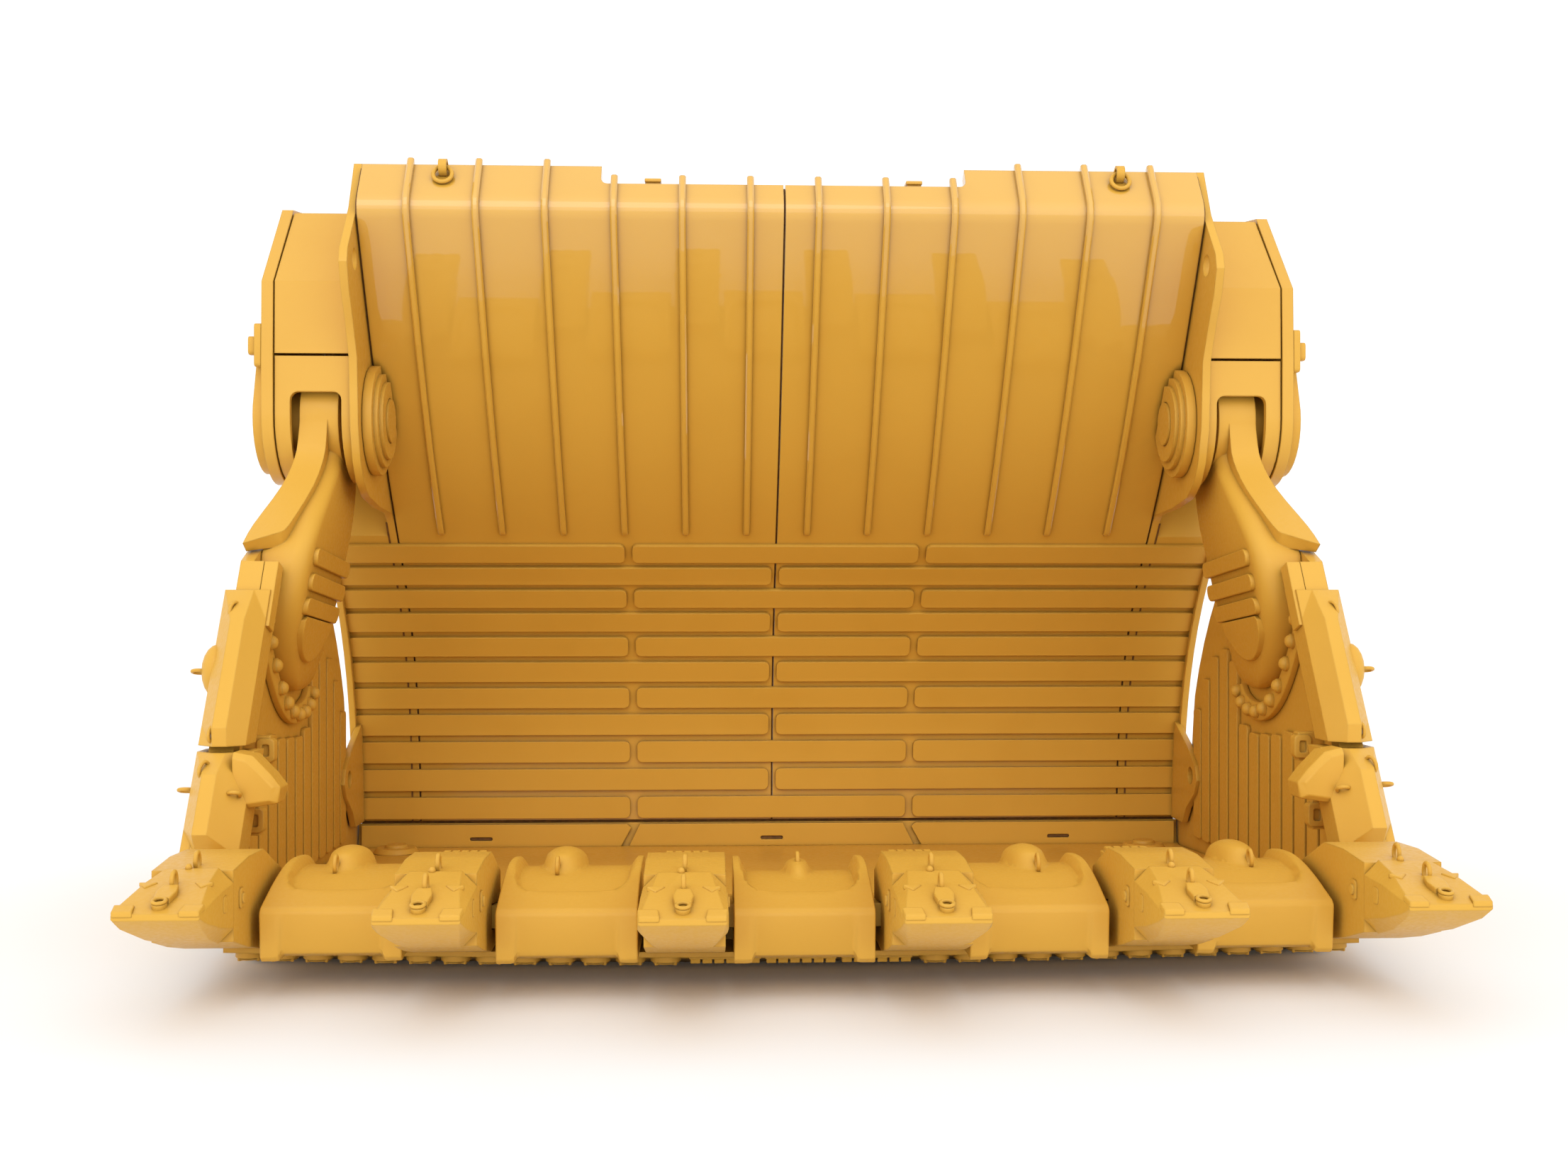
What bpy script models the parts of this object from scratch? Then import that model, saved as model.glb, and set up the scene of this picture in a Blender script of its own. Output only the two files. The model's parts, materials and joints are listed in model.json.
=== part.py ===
"""Bottom-dump face-shovel bucket: a rear wall with housings, and a hinged clam with teeth.

Metres, +Z up. The mouth faces -Y, +X is the bucket's left-hand side seen from the machine.
The clam turns about the line through both upper pivots and is opened by two hidden cylinders.
"""

import math

import bmesh
import bpy
from mathutils import Matrix, Vector

# Driving dimensions of the whole bucket
TOOTH_PITCH = 0.901
LIP_SWEEP = 0.0326          # how far the lip curves back per square metre of half width
PIVOT = (0.363, 2.409)      # clam pivot (y, z)
PIN_RADIUS, PIN_END_RADIUS = 0.160, 0.110
RUNNING_GAP = 0.003
FIT_GAP = 0.003
ORIGIN_Y = -0.1242          # middle of the finished length, which becomes y = 0

# Rear wall
WALL_THICKNESS = 0.070
WALL_HALF_WIDTH = 2.050
MIDDLE_SEAM = 0.010
WALL_BOTTOM, WALL_BEND, WALL_TOP = (1.760, 0.205), (-0.100, 3.400), (0.065, 3.630)
WALL_CURVE = [WALL_BOTTOM, (1.742, 0.450), (1.695, 0.750), (1.600, 1.050), (1.450, 1.340),
              (1.240, 1.620), (0.970, 1.900), (0.645, 2.270), (0.300, 2.750), (-0.062, 3.338)]
BEND_CENTRE, BEND_RADIUS, BEND_TURN = (0.032, 3.395), 0.110, (211.6, 144.4)   # rounding at the wall's bend
NOTCH_HALF_WIDTH, NOTCH_FLOOR, NOTCH_FILLET = 0.890, 3.530, 0.030

# Side housings, as distances from the middle plane
INNER_PLATE = (2.060, 2.100)
WING = (2.103, 2.440)
HOUSING_BACK = (2.103, 2.470)
FLANGE = (2.405, 2.440)
EAR = (2.378, 2.411)
COVER = (2.106, 2.468)
OUTER_PLATE = (2.474, 2.530)
BOSS = (2.533, 2.586)
SLOT = (2.148, 2.395)
SLOT_TOP = 2.520
NOSE_RADIUS = 0.325
COVER_THICKNESS = 0.035
COVER_SEAM = 2.699
SHEET = 0.060
GUARD_FLAT, GUARD_TURN = 0.130, 36    # the pin guard is cut off this far from the pin, facing the wall

# Clam cylinders: the barrel hangs from its pin, the rod's eye works in the arm's lever
BARREL_PIVOT = (0.700, 3.150)
LEVER = 0.450
CYLINDER_X = 2.250
BARREL_RADIUS, BARREL_LENGTH, BARREL_BORE = 0.085, 0.510, 0.060
ROD_RADIUS, ROD_PIN_RADIUS, ROD_EYE_RADIUS = 0.036, 0.036, 0.070
LEVER_HOLE, LEVER_EYE_RADIUS = 0.052, 0.105

# Clam
ARM = (2.175, 2.360)
ARM_HUB_RADIUS = 0.265
SIDE_PLATE = (2.420, 2.480)
SIDE_FLANGE = (2.375, 2.480)
SIDE_TOP, SIDE_FOOT = (-0.500, 1.690), (-1.280, 0.420)
FLOOR_HALF_WIDTH = 2.416
LIP_BACK, LIP_FRONT, LIP_THICKNESS = -1.054, -1.690, 0.090
LIP_TOP_BACK, LIP_RISE = 0.265, 0.119

# Teeth and shrouds
TIP_REACH, TIP_LENGTH, TOOTH_HALF_WIDTH = -2.565, 0.420, 0.148
SHROUD_HALF_WIDTH = 0.268

SIDES = (("right", 1), ("left", -1))
YELLOW, SHADE, STEEL = (0.85, 0.44, 0.09), (0.78, 0.38, 0.07), (0.55, 0.54, 0.52)

for old in list(bpy.data.objects):
    bpy.data.objects.remove(old, do_unlink=True)


def new_collection(name):
    made = bpy.data.collections.new(name)
    bpy.context.scene.collection.children.link(made)
    return made


PARTS = new_collection("shovel_bucket")
CUTTERS = new_collection("cutters")


def paint(obj, colour, metallic=0.0, roughness=0.35):
    """Give one part its own Principled material."""
    material = bpy.data.materials.new(obj.name)
    material.use_nodes = True
    shader = material.node_tree.nodes["Principled BSDF"]
    shader.inputs["Base Color"].default_value = (*colour, 1.0)
    shader.inputs["Metallic"].default_value = metallic
    shader.inputs["Roughness"].default_value = roughness
    obj.data.materials.clear()
    obj.data.materials.append(material)
    return obj


def keep(name, mesh, collection=PARTS):
    obj = bpy.data.objects.new(name, mesh)
    collection.objects.link(obj)
    if collection is CUTTERS:
        obj.hide_render = True
        obj.display_type = 'WIRE'
    return obj


def from_bmesh(name, bm, collection=PARTS):
    bmesh.ops.recalc_face_normals(bm, faces=bm.faces)
    mesh = bpy.data.meshes.new(name)
    bm.to_mesh(mesh)
    bm.free()
    return keep(name, mesh, collection)


# Local axes of a flat outline: its two drawing directions and the one it is extruded along
PLANES = {"X": ((0, 1, 0), (0, 0, 1), (1, 0, 0)), "Y": ((1, 0, 0), (0, 0, 1), (0, -1, 0))}


def flat(name, outlines, span, plane="X", collection=PARTS):
    """A plate: closed outlines (the first is the rim, the others are holes) with a thickness.

    Plane X draws in (y, z) and spans x; plane Y draws in (x, z) and spans y.
    """
    low, high = min(span), max(span)
    curve = bpy.data.curves.new(name, 'CURVE')
    curve.dimensions = '2D'
    curve.fill_mode = 'BOTH'
    curve.extrude = (high - low) / 2
    for outline in outlines:
        spline = curve.splines.new('POLY')
        spline.points.add(len(outline) - 1)
        for point, (u, v) in zip(spline.points, outline):
            point.co = (u, v, 0, 1)
        spline.use_cyclic_u = True
    right, up, out = (Vector(axis) for axis in PLANES[plane])
    centre = abs(out.x) * (low + high) / 2, abs(out.y) * (low + high) / 2, 0
    place = Matrix((right, up, out)).transposed().to_4x4()
    place.translation = centre
    drawn = bpy.data.objects.new(name, curve)
    PARTS.objects.link(drawn)
    bpy.context.view_layer.update()
    ready = drawn.evaluated_get(bpy.context.evaluated_depsgraph_get())
    mesh = bpy.data.meshes.new_from_object(ready)
    bpy.data.objects.remove(drawn, do_unlink=True)
    bm = bmesh.new()
    bm.from_mesh(mesh)
    bpy.data.meshes.remove(mesh)
    bmesh.ops.remove_doubles(bm, verts=bm.verts, dist=0.00005)
    bmesh.ops.transform(bm, matrix=place, verts=bm.verts)
    return from_bmesh(name, bm, collection)


def round_bar(name, centre, radius, span, segments=32, collection=PARTS):
    """A cylinder along X with its axis at centre (y, z)."""
    bm = bmesh.new()
    bmesh.ops.create_cone(bm, cap_ends=True, segments=segments, radius1=radius, radius2=radius,
                          depth=abs(span[1] - span[0]))
    turn = Matrix.Rotation(math.radians(90), 4, 'Y')
    turn.translation = ((span[0] + span[1]) / 2, centre[0], centre[1])
    bmesh.ops.transform(bm, matrix=turn, verts=bm.verts)
    return from_bmesh(name, bm, collection)


def box(name, low, high, collection=PARTS):
    bm = bmesh.new()
    bmesh.ops.create_cube(bm, size=1)
    low, high = Vector(low), Vector(high)
    size = Matrix.Diagonal((*(abs(h - l) for l, h in zip(low, high)), 1))
    bmesh.ops.transform(bm, matrix=Matrix.Translation((low + high) / 2) @ size, verts=bm.verts)
    return from_bmesh(name, bm, collection)


def loft(name, rings, collection=PARTS):
    """A solid skinned over rings that all have the same number of points."""
    bm = bmesh.new()
    rows = [[bm.verts.new(point) for point in ring] for ring in rings]
    count = len(rows[0])
    for row, above in zip(rows, rows[1:]):
        for i in range(count):
            bm.faces.new((row[i], row[(i + 1) % count], above[(i + 1) % count], above[i]))
    caps = [bm.faces.new(rows[0]), bm.faces.new(list(reversed(rows[-1])))]
    bmesh.ops.recalc_face_normals(bm, faces=bm.faces)
    bmesh.ops.triangulate(bm, faces=caps)
    return from_bmesh(name, bm, collection)


def blended(rings, steps=3):
    """More rings between the given ones, on smooth curves through matching points."""
    threads = [smooth([ring[i] for ring in rings], steps) for i in range(len(rings[0]))]
    return [list(ring) for ring in zip(*threads)]


def combine(obj, tool, operation):
    step = obj.modifiers.new(tool.name, 'BOOLEAN')
    step.object = tool
    step.operation = operation
    step.solver = 'EXACT'


def arc(centre, radius, start, end, steps):
    """Points on a circle from start to end, in degrees."""
    turn = (end - start) / steps
    angles = [math.radians(start + turn * i) for i in range(steps + 1)]
    return [(centre[0] + radius * math.cos(a), centre[1] + radius * math.sin(a)) for a in angles]


def circle(centre, radius, segments=32):
    return arc(centre, radius, 0, 360 * (1 - 1 / segments), segments - 1)


def smooth(points, steps=2):
    """A Catmull-Rom curve through the points, with steps pieces between neighbours."""
    padded = [points[0], *points, points[-1]]
    curve = []
    for a, b, c, d in zip(padded, padded[1:], padded[2:], padded[3:]):
        for i in range(steps):
            t = i / steps
            curve.append(tuple(0.5 * (2 * q + (r - p) * t + (2 * p - 5 * q + 4 * r - s) * t * t
                                      + (3 * q - p - 3 * r + s) * t ** 3)
                               for p, q, r, s in zip(a, b, c, d)))
    return curve + [points[-1]]


def offset(points, distance):
    """The same polyline moved to its right-hand side, which is the back of the wall."""
    moved = []
    for i, point in enumerate(points):
        before, after = Vector(points[max(i - 1, 0)]), Vector(points[min(i + 1, len(points) - 1)])
        along = (after - before).normalized()
        moved.append((point[0] + along.y * distance, point[1] - along.x * distance))
    return moved


def clip(line, low, high):
    """The part of a rising polyline between two heights, with its ends cut exactly there."""
    kept = []
    for (y0, z0), (y1, z1) in zip(line, line[1:]):
        bottom, top = max(z0, low), min(z1, high)
        if bottom >= top:
            continue
        ends = [(y0 + (y1 - y0) * (z - z0) / (z1 - z0), z) for z in (bottom, top)]
        kept += ends if not kept else ends[1:]
    return kept


def wall_line(distance=0.0, low=0.0, high=9.0):
    """The wall's front line from the bottom up, set back by distance, between two heights."""
    bend = arc(BEND_CENTRE, BEND_RADIUS, *BEND_TURN, 4)
    return clip(offset(smooth(WALL_CURVE) + bend[1:] + [WALL_TOP], distance), low, high)


def wall_sheet(near, far, low=0.0, high=9.0):
    """Outline of a sheet that follows the wall between two depths behind its front face."""
    return wall_line(near, low, high) + list(reversed(wall_line(far, low, high)))


def span(side, pair):
    return sorted((side * pair[0], side * pair[1]))


def around_pivot(radius, degrees):
    angle = math.radians(degrees)
    return PIVOT[0] + radius * math.cos(angle), PIVOT[1] + radius * math.sin(angle)


LEVER_END = around_pivot(LEVER, 0)


# ---------------------------------------------------------------- rear wall and housings

def rear_wall(label, side):
    """One half of the wall; the top edge is lowered near the middle of the bucket."""
    width = (side * MIDDLE_SEAM / 2, side * WALL_HALF_WIDTH)
    wall = flat(f"rear_wall_{label}", [wall_sheet(0, WALL_THICKNESS)], width)
    corner = (NOTCH_HALF_WIDTH - NOTCH_FILLET, NOTCH_FLOOR + NOTCH_FILLET)
    notch = [(-0.1, NOTCH_FLOOR)] + arc(corner, NOTCH_FILLET, -90, 0, 4) \
        + [(NOTCH_HALF_WIDTH, 4.0), (-0.1, 4.0)]
    outline = [(side * x, z) for x, z in notch]
    combine(wall, flat(f"notch_{label}", [outline], (-0.4, 0.4), "Y", CUTTERS), 'DIFFERENCE')
    return paint(wall, YELLOW)


def inner_plate(label, side):
    """Plate between the wall and the housing, with a lifting hole in its forward lobe."""
    front = [(0.108, 3.641), (-0.020, 3.400), (-0.225, 3.170), (-0.244, 3.098), (-0.200, 2.980),
             (-0.111, 2.847), (-0.013, 2.678), (0.000, 2.500), (0.012, 2.353), (0.070, 2.186),
             (0.150, 2.090), (0.277, 2.024), (0.550, 1.985), (0.880, 1.965)]
    lower = list(reversed(wall_line(0.0, 0.0, 1.93)))
    back = wall_line(0.125, 0.0, 1.80) + [(1.230, 2.050), (1.300, 2.350), (1.300, 2.950), (1.050, 3.420),
                                          (0.500, 3.640)]
    bores = [circle(PIVOT, PIN_RADIUS + FIT_GAP), circle(BARREL_PIVOT, 0.053, 16),
             circle((-0.071, 3.140), 0.053, 16)]
    return paint(flat(f"housing_inner_plate_{label}", [front + lower + back, *bores], span(side, INNER_PLATE)),
                 YELLOW)


def outer_plate(label, side):
    front = [(0.447, 3.485), (0.044, 3.053), (0.035, 2.680)] + arc(PIVOT, NOSE_RADIUS, 180, 300, 12)
    back = [(0.800, 2.150), (1.050, 2.200), (1.250, 2.450), (1.250, 2.950), (1.000, 3.400), (0.700, 3.520)]
    bores = [circle(PIVOT, PIN_RADIUS + FIT_GAP), circle(BARREL_PIVOT, 0.053, 16)]
    return paint(flat(f"housing_outer_plate_{label}", [front + back, *bores], span(side, OUTER_PLATE)), YELLOW)


def wing(label, side):
    """Outer strip of the wall: it bends back into the housing's rear and carries the side flange."""
    lower = wall_line(0.0, 0.0, 1.85)
    lower_back = wall_line(SHEET, 0.0, 1.85)
    strip = flat(f"rear_wing_{label}", [lower + list(reversed(lower_back))], span(side, WING))
    rise = [lower[-2], lower[-1], (1.060, 2.080), (1.150, 2.350), (1.150, 2.930), (0.920, 3.280),
            (0.500, 3.420)]
    inner = offset(rise, SHEET)
    back = flat(f"housing_back_{label}", [rise + list(reversed(inner))], span(side, HOUSING_BACK),
                collection=CUTTERS)
    combine(strip, back, 'UNION')
    rim = [(y - 0.060, z) for y, z in wall_line(0.0, 0.30, 1.75)]
    flange = flat(f"side_flange_{label}", [rim + list(reversed(wall_line(0.030, 0.30, 1.75)))],
                  span(side, FLANGE), collection=CUTTERS)
    combine(strip, flange, 'UNION')
    ear = [(1.500, 0.207), (1.420, 0.300), (1.260, 0.400), (1.205, 0.480), (1.240, 0.560), (1.400, 0.660)]
    outline = ear + list(reversed(wall_line(0.030, 0.0, 0.80)))
    ear_plate = flat(f"side_ear_{label}", [outline, circle((1.336, 0.496), 0.050, 16)], span(side, EAR),
                     collection=CUTTERS)
    combine(strip, ear_plate, 'UNION')
    return paint(strip, YELLOW)


def upper_cover(label, side):
    """Bent sheet over the upper front of the housing."""
    low = COVER_SEAM + 0.006
    outline = [(0.044, low), (0.050, 3.055), (0.445, 3.470), (0.475, 3.442), (0.090, 3.040), (0.084, low)]
    return paint(flat(f"housing_cover_upper_{label}", [outline], span(side, COVER)), YELLOW)


def lower_cover(label, side):
    """Sheet over the lower front, slotted for the arm; its two legs follow the housing's nose."""
    skin = NOSE_RADIUS - 0.010
    outside = [(0.048, COVER_SEAM - 0.006), (0.048, 2.450)] + arc(PIVOT, skin, 180, 290, 11)
    inside = arc(PIVOT, skin - COVER_THICKNESS, 290, 180, 11) + [(0.083, 2.450), (0.083, COVER_SEAM - 0.006)]
    cover = flat(f"housing_cover_lower_{label}", [outside + inside], span(side, COVER))
    low, high = span(side, SLOT)
    corner = 0.040
    slot = [(low, 1.9), (high, 1.9)] + arc((high - corner, SLOT_TOP - corner), corner, 0, 90, 4) \
        + arc((low + corner, SLOT_TOP - corner), corner, 90, 180, 4)
    combine(cover, flat(f"slot_{label}", [slot], (-0.2, 1.0), "Y", CUTTERS), 'DIFFERENCE')
    return paint(cover, YELLOW)


def pivot_pin(label, side):
    """The clam's pin, with the drop-shaped keeper plate that holds it outside the housing."""
    pin = round_bar(f"pivot_pin_{label}", PIVOT, PIN_RADIUS, span(side, (2.064, 2.560)))
    end = round_bar(f"pin_end_{label}", PIVOT, PIN_END_RADIUS, span(side, (1.962, 2.100)), 24, CUTTERS)
    combine(pin, end, 'UNION')
    keeper = arc(PIVOT, 0.270, 170, 370, 20) + [(0.560, 2.680), (0.470, 2.706), (0.260, 2.706), (0.170, 2.680)]
    combine(pin, flat(f"keeper_{label}", [keeper], span(side, BOSS), collection=CUTTERS), 'UNION')
    return paint(pin, YELLOW)


def pin_guard(label, side):
    """Three stepped layers round the pin's inner end, each cut off flat along the wall."""
    guard = None
    layers = ((0.275, 2.012, 2.0575), (0.235, 1.990, 2.035), (0.195, 1.972, 2.030))
    for step, (radius, near, far) in enumerate(layers):
        reach = math.degrees(math.acos((GUARD_FLAT - 0.003 * step) / radius))
        outline = arc(PIVOT, radius, GUARD_TURN + reach, GUARD_TURN + 360 - reach, 16)
        layer = flat(f"pin_guard_{label}" if guard is None else f"guard_layer_{step}_{label}", [outline],
                     span(side, (near, far)), collection=PARTS if guard is None else CUTTERS)
        if guard is None:
            guard = layer
        else:
            combine(guard, layer, 'UNION')
    bore = round_bar(f"guard_bore_{label}", PIVOT, PIN_END_RADIUS + FIT_GAP, span(side, (1.9, 2.1)), 24,
                     CUTTERS)
    combine(guard, bore, 'DIFFERENCE')
    return paint(guard, YELLOW)


def bracket(name, side, middle, low, high, eye, eye_radius, bore):
    """Two ears on a curved pad behind the wall, bored for one of the machine's pins."""
    pad_near, pad_far = WALL_THICKNESS + 0.003, WALL_THICKNESS + 0.050
    width = span(side, (middle - 0.185, middle + 0.185))
    pad = flat(name, [wall_sheet(pad_near, pad_far, low, high)], width)
    root = wall_line(pad_far - 0.020, low + 0.02, high - 0.02)
    start = math.degrees(math.atan2(root[-1][1] - eye[1], root[-1][0] - eye[0]))
    end = math.degrees(math.atan2(root[0][1] - eye[1], root[0][0] - eye[0]))
    rim = arc(eye, eye_radius, start - 75, end + 75 - (0 if end < start else 360), 16)
    for i, near in enumerate((middle - 0.17, middle + 0.10)):
        ear = flat(f"{name}_ear_{i}", [root + rim, circle(eye, bore, 24)], span(side, (near, near + 0.07)),
                   collection=CUTTERS)
        combine(pad, ear, 'UNION')
    return paint(pad, YELLOW)


def ring_seat():
    """Where a lifting ring hangs: its point on the top band, the band's rise and its normal."""
    band = (Vector(WALL_TOP) - Vector(WALL_BEND)).normalized()
    normal = Vector((-band.y, band.x))
    return Vector(WALL_TOP) - 0.050 * band, band, normal


def ring_clip(label, side):
    """Welded lug with a through hole, standing on the top band."""
    foot, band, normal = ring_seat()
    eye = foot + 0.031 * normal
    base = [foot + 0.0035 * normal + band * 0.037, foot + 0.0035 * normal - band * 0.037]
    spread = math.degrees(math.atan2(normal.y, normal.x))
    top = arc(eye, 0.037, spread - 85, spread + 85, 8)
    outline = [tuple(base[1])] + list(reversed(top)) + [tuple(base[0])]
    return paint(flat(f"ring_clip_{label}", [outline, circle(eye, 0.0235, 16)],
                      span(side, (1.632, 1.672))), YELLOW)


def lifting_ring(label, side):
    """Loose ring through the clip; it lies back against the band and swings up for a hook."""
    foot, band, normal = ring_seat()
    eye = foot + 0.031 * normal
    radius, wire = 0.045, 0.0105
    low_end = foot + 0.0140 * normal - band * math.sqrt((2 * radius) ** 2 - 0.017 ** 2)
    hang = (low_end - eye).normalized()
    bpy.ops.mesh.primitive_torus_add(major_radius=radius, minor_radius=wire, major_segments=24,
                                     minor_segments=8)
    ring = bpy.context.object
    ring.name = f"lifting_ring_{label}"
    ring.data.name = ring.name
    for owner in list(ring.users_collection):
        owner.objects.unlink(ring)
    PARTS.objects.link(ring)
    axis_y = Vector((0, hang.x, hang.y))
    turn = Matrix((Vector((1, 0, 0)), axis_y, Vector((1, 0, 0)).cross(axis_y))).transposed().to_4x4()
    ring.data.transform(turn @ Matrix.Translation((0, radius, 0)))
    ring.location = (side * 1.652, eye.x, eye.y)
    return paint(ring, YELLOW)


# ---------------------------------------------------------------- clam cylinders

def barrel_pin(label, side):
    pin = round_bar(f"barrel_pin_{label}", BARREL_PIVOT, 0.050, span(side, (2.050, 2.536)), 16)
    return paint(pin, STEEL, 0.8)


def along_cylinder(name, side, radius, start, end, segments, collection=PARTS):
    """A round bar along the cylinder's centre line between two distances from the barrel's pin."""
    top, foot = Vector(BARREL_PIVOT), Vector(LEVER_END)
    line = (foot - top).normalized()
    middle = top + line * (start + end) / 2
    bm = bmesh.new()
    bmesh.ops.create_cone(bm, cap_ends=True, segments=segments, radius1=radius, radius2=radius,
                          depth=end - start)
    turn = Vector((0, 0, 1)).rotation_difference(Vector((0, line.x, line.y))).to_matrix().to_4x4()
    turn.translation = (side * CYLINDER_X, middle.x, middle.y)
    bmesh.ops.transform(bm, matrix=turn, verts=bm.verts)
    return from_bmesh(name, bm, collection)


def barrel(label, side):
    """Cylinder barrel: an eye on its pin, and a bore that is open where the rod comes out."""
    tube = along_cylinder(f"cylinder_barrel_{label}", side, BARREL_RADIUS, 0.040, BARREL_LENGTH, 24)
    width = span(side, (CYLINDER_X - 0.075, CYLINDER_X + 0.075))
    eye = round_bar(f"barrel_eye_{label}", BARREL_PIVOT, 0.095, width, 24, CUTTERS)
    bore = along_cylinder(f"barrel_bore_{label}", side, BARREL_BORE, 0.105, BARREL_LENGTH + 0.1, 24, CUTTERS)
    hole = round_bar(f"barrel_hole_{label}", BARREL_PIVOT, 0.050 + RUNNING_GAP, span(side, (2.1, 2.5)), 16,
                     CUTTERS)
    for tool, operation in ((eye, 'UNION'), (bore, 'DIFFERENCE'), (hole, 'DIFFERENCE')):
        combine(tube, tool, operation)
    return paint(tube, SHADE)


def rod(label, side):
    """Piston, rod, eye and cross pin in one piece."""
    reach = (Vector(LEVER_END) - Vector(BARREL_PIVOT)).length
    shaft = along_cylinder(f"cylinder_rod_{label}", side, ROD_RADIUS, 0.125, reach, 20)
    piston = along_cylinder(f"piston_{label}", side, BARREL_BORE - RUNNING_GAP, 0.115, 0.165, 24, CUTTERS)
    width = span(side, (CYLINDER_X - 0.034, CYLINDER_X + 0.034))
    eye = round_bar(f"rod_eye_{label}", LEVER_END, ROD_EYE_RADIUS, width, 24, CUTTERS)
    width = span(side, (ARM[0] + 0.002, ARM[1] - 0.002))
    cross = round_bar(f"rod_pin_{label}", LEVER_END, ROD_PIN_RADIUS, width, 16, CUTTERS)
    for tool in (piston, eye, cross):
        combine(shaft, tool, 'UNION')
    return paint(shaft, STEEL, 0.9, 0.2)


# ---------------------------------------------------------------- clam

def arm(label, side):
    """Arm from the pivot hub down to the side plate, with the lever that the cylinder pushes."""
    levels = [(2.330, 0.150, 0.600, 2.177, 2.358), (2.200, 0.140, 0.620, 2.177, 2.365),
              (2.050, -0.040, 0.600, 2.177, 2.385), (1.880, -0.260, 0.540, 2.182, 2.400),
              (1.720, -0.385, 0.480, 2.200, 2.417), (1.500, -0.385, 0.452, 2.240, 2.417),
              (1.300, -0.270, 0.425, 2.290, 2.417), (1.150, -0.110, 0.385, 2.330, 2.417),
              (1.090, 0.010, 0.325, 2.355, 2.417), (1.065, 0.110, 0.245, 2.380, 2.417)]
    rings = []
    for z, front, back, near, far in levels:
        soft = min(0.080, 0.75 * (far - near))
        corners = [(far, front)] + arc((near + soft, front + soft), soft, 270, 180, 5) \
            + arc((near + soft, back - soft), soft, 180, 90, 3) + [(far, back)]
        rings.append([(side * x, y, z) for x, y in corners])
    body = loft(f"clam_arm_{label}", blended(rings))
    hub = round_bar(f"arm_hub_{label}", PIVOT, ARM_HUB_RADIUS, span(side, ARM), 40, CUTTERS)
    brow = loft(f"arm_brow_{label}", blended([[(side * x, y, z) for x, y, z in ring] for ring in (
        [(2.225, 0.103, 2.440), (2.357, 0.103, 2.440), (2.357, 0.200, 2.440), (2.225, 0.200, 2.440)],
        [(2.228, 0.090, 2.310), (2.364, 0.090, 2.310), (2.364, 0.200, 2.310), (2.228, 0.200, 2.310)],
        [(2.235, 0.060, 2.200), (2.375, 0.060, 2.200), (2.375, 0.180, 2.160), (2.235, 0.180, 2.160)],
        [(2.250, -0.095, 2.052), (2.400, -0.095, 2.052), (2.405, -0.020, 1.960), (2.250, -0.020, 1.960)],
        [(2.300, -0.350, 1.860), (2.465, -0.350, 1.860), (2.465, -0.290, 1.790), (2.300, -0.290, 1.790)],
        [(2.330, -0.395, 1.825), (2.478, -0.480, 1.770), (2.478, -0.420, 1.735), (2.330, -0.350, 1.760)])]),
        CUTTERS)
    for tool, operation in ((hub, 'UNION'), (brow, 'UNION')):
        combine(body, tool, operation)
    lobe = arc(PIVOT, 0.240, 80, 280, 10)
    outline = lobe + arc(LEVER_END, LEVER_EYE_RADIUS, -80, 80, 10)
    lever = flat(f"arm_lever_{label}", [outline], span(side, ARM), collection=CUTTERS)
    combine(body, lever, 'UNION')
    low, high = span(side, (CYLINDER_X - 0.042, CYLINDER_X + 0.042))
    mouth = box(f"lever_mouth_{label}", (low, LEVER_END[0] - 0.190, LEVER_END[1] - 0.140),
                (high, LEVER_END[0] + 0.140, LEVER_END[1] + 0.250), CUTTERS)
    combine(body, mouth, 'DIFFERENCE')
    eye = round_bar(f"lever_hole_{label}", LEVER_END, LEVER_HOLE, span(side, (2.1, 2.4)), 16, CUTTERS)
    combine(body, eye, 'DIFFERENCE')
    bore = round_bar(f"arm_bore_{label}", PIVOT, PIN_RADIUS + RUNNING_GAP, span(side, (2.1, 2.4)), 32, CUTTERS)
    combine(body, bore, 'DIFFERENCE')
    return paint(body, YELLOW)


def edge_y(z):
    """The side plate's sloping front edge."""
    share = (z - SIDE_FOOT[1]) / (SIDE_TOP[1] - SIDE_FOOT[1])
    return SIDE_FOOT[0] + share * (SIDE_TOP[0] - SIDE_FOOT[0])


def side_plate(label, side):
    """Clam side with a thicker front edge and a rounded rear edge that meets the wall's flange."""
    rear = smooth([(0.450, 1.780), (0.760, 1.690), (0.980, 1.510), (1.200, 1.260), (1.384, 0.950),
                   (1.440, 0.676), (1.560, 0.420), (1.740, 0.190)])
    outline = [SIDE_FOOT, SIDE_TOP, (-0.380, 1.740), (-0.100, 1.790)] + rear + [
        (1.825, 0.188), (1.825, 0.000), (1.200, 0.000), (-0.900, 0.170), (-1.240, 0.240)]
    plate = flat(f"clam_side_plate_{label}", [outline], span(side, SIDE_PLATE))
    strip = [SIDE_FOOT, SIDE_TOP, (SIDE_TOP[0] + 0.085, SIDE_TOP[1] - 0.030),
             (SIDE_FOOT[0] + 0.085, SIDE_FOOT[1])]
    combine(plate, flat(f"side_edge_{label}", [strip], span(side, SIDE_FLANGE), collection=CUTTERS), 'UNION')
    return paint(plate, YELLOW)


def wing_shroud(name, side, inner, nose, levels):
    """Wear guard slipped over the side plate's front edge; levels give height and nose length."""
    rings = []
    for z, share in levels:
        y = edge_y(z)
        tip, half = y - nose * share, 0.030
        section = [(2.530, y + 0.150), (2.530, y + 0.010), (2.420 + half, tip), (2.420 - half, tip),
                   (inner, y - 0.010), (inner, y + 0.150), (2.368, y + 0.150), (2.368, y - 0.006),
                   (2.487, y - 0.006), (2.487, y + 0.150)]
        rings.append([(side * x, where, z) for x, where in section])
    return paint(loft(name, rings), YELLOW)


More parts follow.
